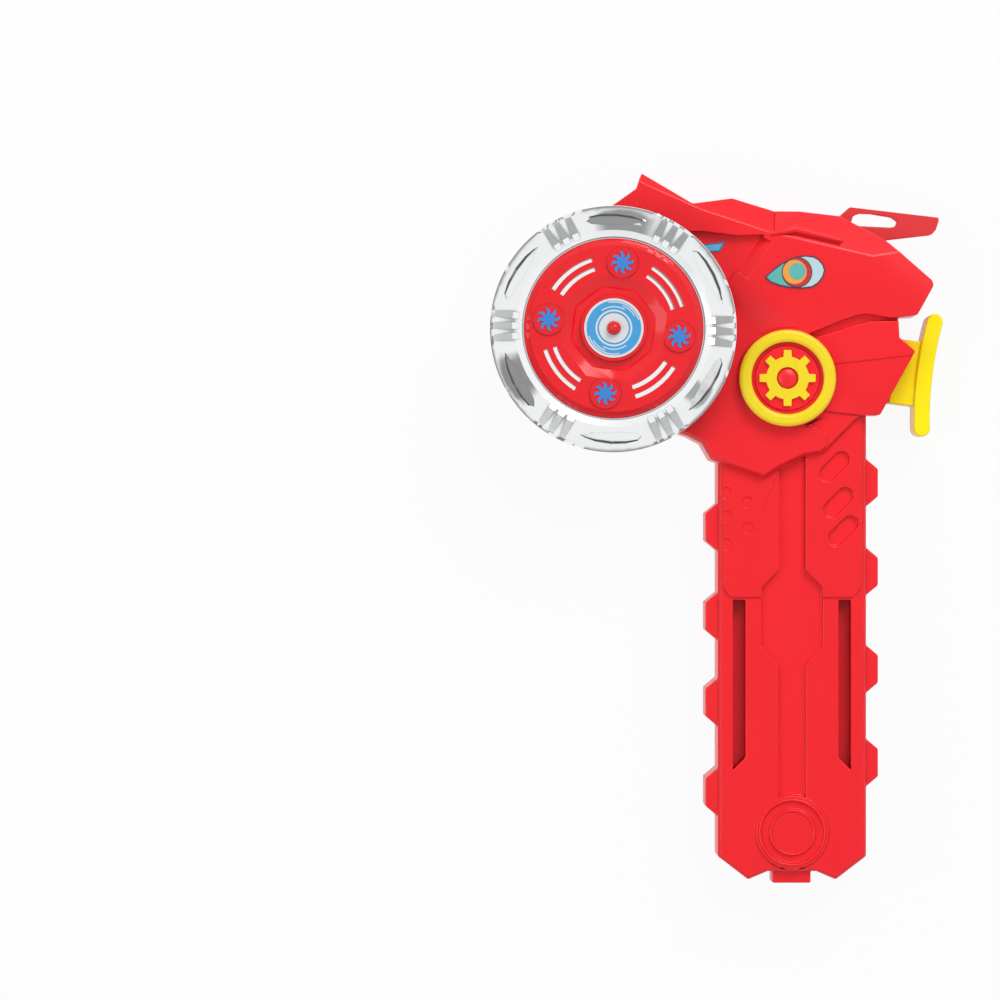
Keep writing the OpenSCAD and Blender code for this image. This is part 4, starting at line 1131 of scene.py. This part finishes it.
@dataclass
class Casing:
    """Red casing with its badge, eyes and screws."""

    workshop: Workshop
    edge: float = 0.45
    wheel_edge: float = 0.2
    print_step: float = 0.06
    eye_outline: float = 0.45
    dome_radius: float = 3.3
    dome_high: float = 1.3
    dome_lift: float = 0.02
    dome_segments: int = 48
    # Discs of the iris, each over the one before: name, radius, finish and shift of the middle
    iris: tuple[tuple[str, float, Finish, tuple[float, float]], ...] = (
        ("iris_line", 4.75, FILM_NAVY, (0.6, -0.1)),
        ("iris_red", 4.4, FILM_RED, (0.65, -0.1)),
        ("iris_orange", 3.75, FILM_ORANGE, (-0.1, 0.0)),
        ("iris_teal", 2.6, FILM_TEAL, (0.7, 0.2)),
    )
    iris_segments: int = 48
    # Long slots of the grip: their middles across, upper end, length, width and floor
    slot_x: tuple[float, float] = (39.8, 72.8)
    slot_top: float = -83.94
    slot_length: float = 53.0
    slot_width: float = 3.8
    slot_floor: float = 14.5
    trim_high: float = 0.5
    bead_steps: int = 6
    # Boss at the grip's end: its middle and face, and the inner and outer radius of each ring
    end_at: tuple[float, float] = (56.3, -156.4)
    end_face: float = 22.0
    end_ring_radii: dict[str, tuple[float, float]] = field(
        default_factory=lambda: {"end_ring_outer": (9.7, 10.6), "end_ring_inner": (6.4, 7.3)}
    )

    def build(self) -> None:
        """Builds the casing's pieces."""
        shop = self.workshop
        shop.softened("front_shell", RED, Body.CASING, self.edge, mend=mitre)
        shop.softened("back_shell", RED, Body.CASING, self.edge, mend=mitre, fitted=False)
        shop.softened("badge_ring", YELLOW, Body.CASING, self.edge)
        shop.softened("badge_wheel", YELLOW, Body.CASING, self.wheel_edge)
        shop.dress(STEEL, "shell_screws", "chassis_screws", "layshaft_axle", "idler_axle")
        shop.dress(STEEL, "lever_pin", "lever_spring")
        shop.dress(ACETAL, "gear_chassis")
        shop.dress(BRONZE, "spindle_bush")
        self.badge_dome()
        self.eye()
        self.side_eye()
        self.slot_floors()
        self.end_rings()

    def badge_dome(self) -> None:
        """Puts the low red dome in the middle of the badge."""
        work = bmesh.new()
        around = self.dome_segments
        bmesh.ops.create_uvsphere(work, u_segments=around, v_segments=around // 2, radius=1)
        bmesh.ops.bisect_plane(
            work,
            geom=[*work.verts, *work.edges, *work.faces],
            plane_co=(0, 0, 0),
            plane_no=-FACE_UP,
            clear_outer=True,
        )
        rim = [edge for edge in work.edges if edge.is_boundary]
        bmesh.ops.contextual_create(work, geom=rim)
        bmesh.ops.scale(
            work, vec=(self.dome_radius, self.dome_radius, self.dome_high), verts=work.verts
        )
        bmesh.ops.recalc_face_normals(work, faces=work.faces)
        centre = middle("badge_wheel")
        centre.z = underside("badge_wheel") + to_metres(self.dome_lift)
        self.workshop.add("badge_dome", work, RED, Body.CASING, at=centre)

    def eye(self) -> None:
        """Prints the teardrop eye in layers: outline, field, corner, iris and its colours."""
        base, size = footprint("eye_decal")
        outline = [(x * size.x, y * size.y) for x, y in EYE_SHARES]
        field_outline = inset(outline, self.eye_outline)
        self.workshop.add(
            "eye_outline",
            thicken(flat_shape(outline), size.z),
            FILM_NAVY,
            Body.CASING,
            at=base,
            replaces=["eye_decal"],
        )
        corner = [*field_outline[:4], *field_outline[-4:]]
        shapes = [
            ("eye_field", flat_shape(field_outline), FILM_PALE, (0.0, 0.0)),
            ("eye_corner", flat_shape(corner), FILM_TEAL, (0.0, 0.0)),
        ]
        for name, radius, finish, shift in self.iris:
            shapes.append((name, disc(radius, self.iris_segments), finish, shift))
        for level, (name, work, finish, shift) in enumerate(shapes, start=1):
            at = base + Vector((*shift, 0)) * MM
            self.print_layer(name, work, finish, at, size.z, level)

    def print_layer(
        self,
        name: str,
        work: bmesh.types.BMesh,
        finish: Finish,
        at: Vector,
        film: float,
        level: int,
    ) -> None:
        """Lays one colour of a print on the film.

        Args:
            name: Name of the piece.
            work: Its flat shape.
            finish: Its colour.
            at: Where the shape's origin goes, at the film's underside.
            film: Thickness of the film in millimetres.
            level: Number of the layer, counted from the film.
        """
        rise = film + self.print_step * (level - 1)
        place = at + FACE_UP * to_metres(rise)
        self.workshop.add(name, thicken(work, self.print_step), finish, Body.CASING, at=place)

    def side_eye(self) -> None:
        """Prints the small second eye that the top half hides."""
        self.workshop.dress(FILM_STEEL_BLUE, "side_eye_decal")
        base, size = footprint("side_eye_decal")
        outline = [(x * size.x, y * size.y) for x, y in SIDE_EYE_SHARES]
        work = flat_shape(inset(outline, self.eye_outline))
        self.print_layer("side_eye_field", work, FILM_SKY, base, size.z, 1)

    def slot_floors(self) -> None:
        """Closes the grip's two long slots below, as moulded slots are blind."""
        half = self.slot_width / 2 + self.print_step
        short, long = self.slot_width - self.slot_length, -self.slot_length
        for side, x in zip((-1, 1), self.slot_x, strict=True):
            outer, inner = side * half, -side * half
            outline = [(outer, 0), (inner, 0), (inner, short), (outer, long)]
            work = thicken(flat_shape(outline), self.trim_high)
            at = Vector((x, self.slot_top, self.slot_floor)) * MM
            name = "slot_floor_left" if side < 0 else "slot_floor_right"
            self.workshop.add(name, work, RED, Body.CASING, at=at)

    def bead(self, inner: float, outer: float, high: float) -> bmesh.types.BMesh:
        """A low rounded ring of trim.

        Args:
            inner: Its inner radius in millimetres.
            outer: Its outer radius.
            high: How high it stands.

        Returns:
            The ring, closed, with its foot a little below height zero.
        """
        width = outer - inner
        profile = [(inner, -high / 2), (outer, -high / 2)]
        for i in range(self.bead_steps + 1):
            turn = math.pi * i / self.bead_steps
            profile.append((inner + width * (0.5 + math.cos(turn) / 2), high * math.sin(turn)))
        return lathe(profile)

    def end_rings(self) -> None:
        """Lays the two raised rings on the boss at the grip's end."""
        for name, (inner, outer) in self.end_ring_radii.items():
            at = Vector((*self.end_at, self.end_face)) * MM
            work = self.bead(inner, outer, self.trim_high)
            self.workshop.add(name, work, RED, Body.CASING, at=at)


@dataclass
class Mechanism:
    """Plunger, gears, chuck and brake lever."""

    workshop: Workshop
    plunger_edge: float = 0.5
    chuck_edge: float = 0.25
    lever_edge: float = 0.4

    def build(self) -> None:
        """Builds the moving pieces."""
        shop = self.workshop
        shop.softened("plunger", LEMON, Body.PLUNGER, self.plunger_edge)
        shop.dress(DARK, "plunger_stop", "clutch_pawl", "brake_drum")
        shop.dress(ACETAL, "layshaft_gear", "idler_gear", "spindle_gear")
        shop.dress(STEEL, "spindle_shaft", "chuck_screw")
        shop.softened("chuck", DARK, Body.CHUCK, self.chuck_edge)
        shop.softened("release_lever", CRIMSON, Body.LEVER, self.lever_edge)
        shop.dress(RUBBER, "brake_pad")


@dataclass
class SpinningTop:
    """Chrome ring, red disc, printed labels and tip."""

    workshop: Workshop
    ring_edge: float = 0.4
    ring_angle: float = 20
    disc_edge: float = 0.35
    core_edge: float = 0.3
    tip_edge: float = 0.2
    pinwheel_blades: int = 8
    pinwheel_radius: float = 3.7
    pinwheel_circle: float = 20.2
    pinwheel_bearing: float = 82.5
    pinwheel_count: int = 4
    film_step: float = 0.05
    # Hole of the label as a share of its radius
    label_hole: float = 0.24
    # Prints of the label: name, inner and outer share of its radius, first and last bearing in
    # degrees, finish and layer
    label_prints: tuple[tuple[str, float, float, float, float, Finish, int], ...] = (
        ("label_blue_band", 0.62, 0.92, 0, 360, FILM_BLUE, 0),
        ("label_blue_line", 0.50, 0.56, 0, 360, FILM_BLUE, 0),
        ("label_arc_a", 0.86, 0.895, 18, 102, FILM_SILVER, 1),
        ("label_arc_b", 0.79, 0.82, 30, 70, FILM_SILVER, 1),
        ("label_arc_c", 0.70, 0.735, 60, 125, FILM_SILVER, 1),
        ("label_arc_d", 0.86, 0.895, 198, 282, FILM_SILVER, 1),
        ("label_arc_e", 0.79, 0.82, 210, 250, FILM_SILVER, 1),
        ("label_arc_f", 0.70, 0.735, 240, 305, FILM_SILVER, 1),
    )

    def build(self) -> None:
        """Builds the top's pieces."""
        shop = self.workshop
        shop.softened("top_ring", CHROME, Body.TOP, self.ring_edge, self.ring_angle, fitted=False)
        shop.softened("top_disc", SHADED_DISC_RED, Body.TOP, self.disc_edge, fitted=False)
        shop.softened("top_core", DARK, Body.TOP, self.core_edge, fitted=False)
        shop.softened("top_tip", SHADED_DISC_RED, Body.TOP, self.tip_edge, fitted=False)
        shop.dress(STEEL, "top_screws")
        self.hub_label()
        self.pinwheels()

    def hub_label(self) -> None:
        """Prints the hub label: a silver film with blue bands and silver arcs."""
        shop = self.workshop
        low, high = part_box("hub_label")
        base = Vector((0, 0, low.z))
        film = to_mm(high.z - low.z)
        radius = to_mm(high.x - low.x) / 2
        silver = thicken(arc_band(radius * self.label_hole, radius, 0, 360), film)
        shop.add("label_film", silver, FILM_SILVER, Body.TOP, at=base, replaces=["hub_label"])
        for name, inner, outer, first, last, finish, level in self.label_prints:
            band = thicken(arc_band(inner * radius, outer * radius, first, last), self.film_step)
            at = base + FACE_UP * to_metres(film + self.film_step * level)
            shop.add(name, band, finish, Body.TOP, at=at)

    def pinwheel(self) -> Outline:
        """Outline of a pinwheel whose hooked blades lean to the left as they go out.

        Returns:
            The outline in millimetres, anticlockwise.
        """
        outline = []
        for blade in range(self.pinwheel_blades):
            for share, bearing in BLADE_SHARES:
                turn = math.tau * blade / self.pinwheel_blades + math.radians(bearing)
                radius = share * self.pinwheel_radius
                outline.append((radius * math.cos(turn), radius * math.sin(turn)))
        return outline

    def pinwheels(self) -> None:
        """Prints the four pinwheels."""
        low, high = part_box("blade_labels")
        for i in range(self.pinwheel_count):
            work = thicken(flat_shape(self.pinwheel()), to_mm(high.z - low.z))
            bearing = math.radians(self.pinwheel_bearing + 360 / self.pinwheel_count * i)
            at = Vector((math.cos(bearing), math.sin(bearing), 0)) * to_metres(self.pinwheel_circle)
            at.z = low.z
            self.workshop.add(
                f"pinwheel_{i + 1}",
                work,
                FILM_DEEP_BLUE,
                Body.TOP,
                at=at,
                replaces=["blade_labels"] if i == 0 else (),
            )


def main() -> None:
    """Builds every sub-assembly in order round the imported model."""
    logging.basicConfig(level=logging.INFO, format="%(name)s: %(message)s")
    for item in list(bpy.data.objects):
        bpy.data.objects.remove(item)
    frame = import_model()
    workshop = Workshop(frame["nodes"])
    Studio().build()
    Casing(workshop).build()
    Mechanism(workshop).build()
    SpinningTop(workshop).build()
    log.info("%d pieces built", len(workshop.pieces))


if __name__ == "__main__":
    main()
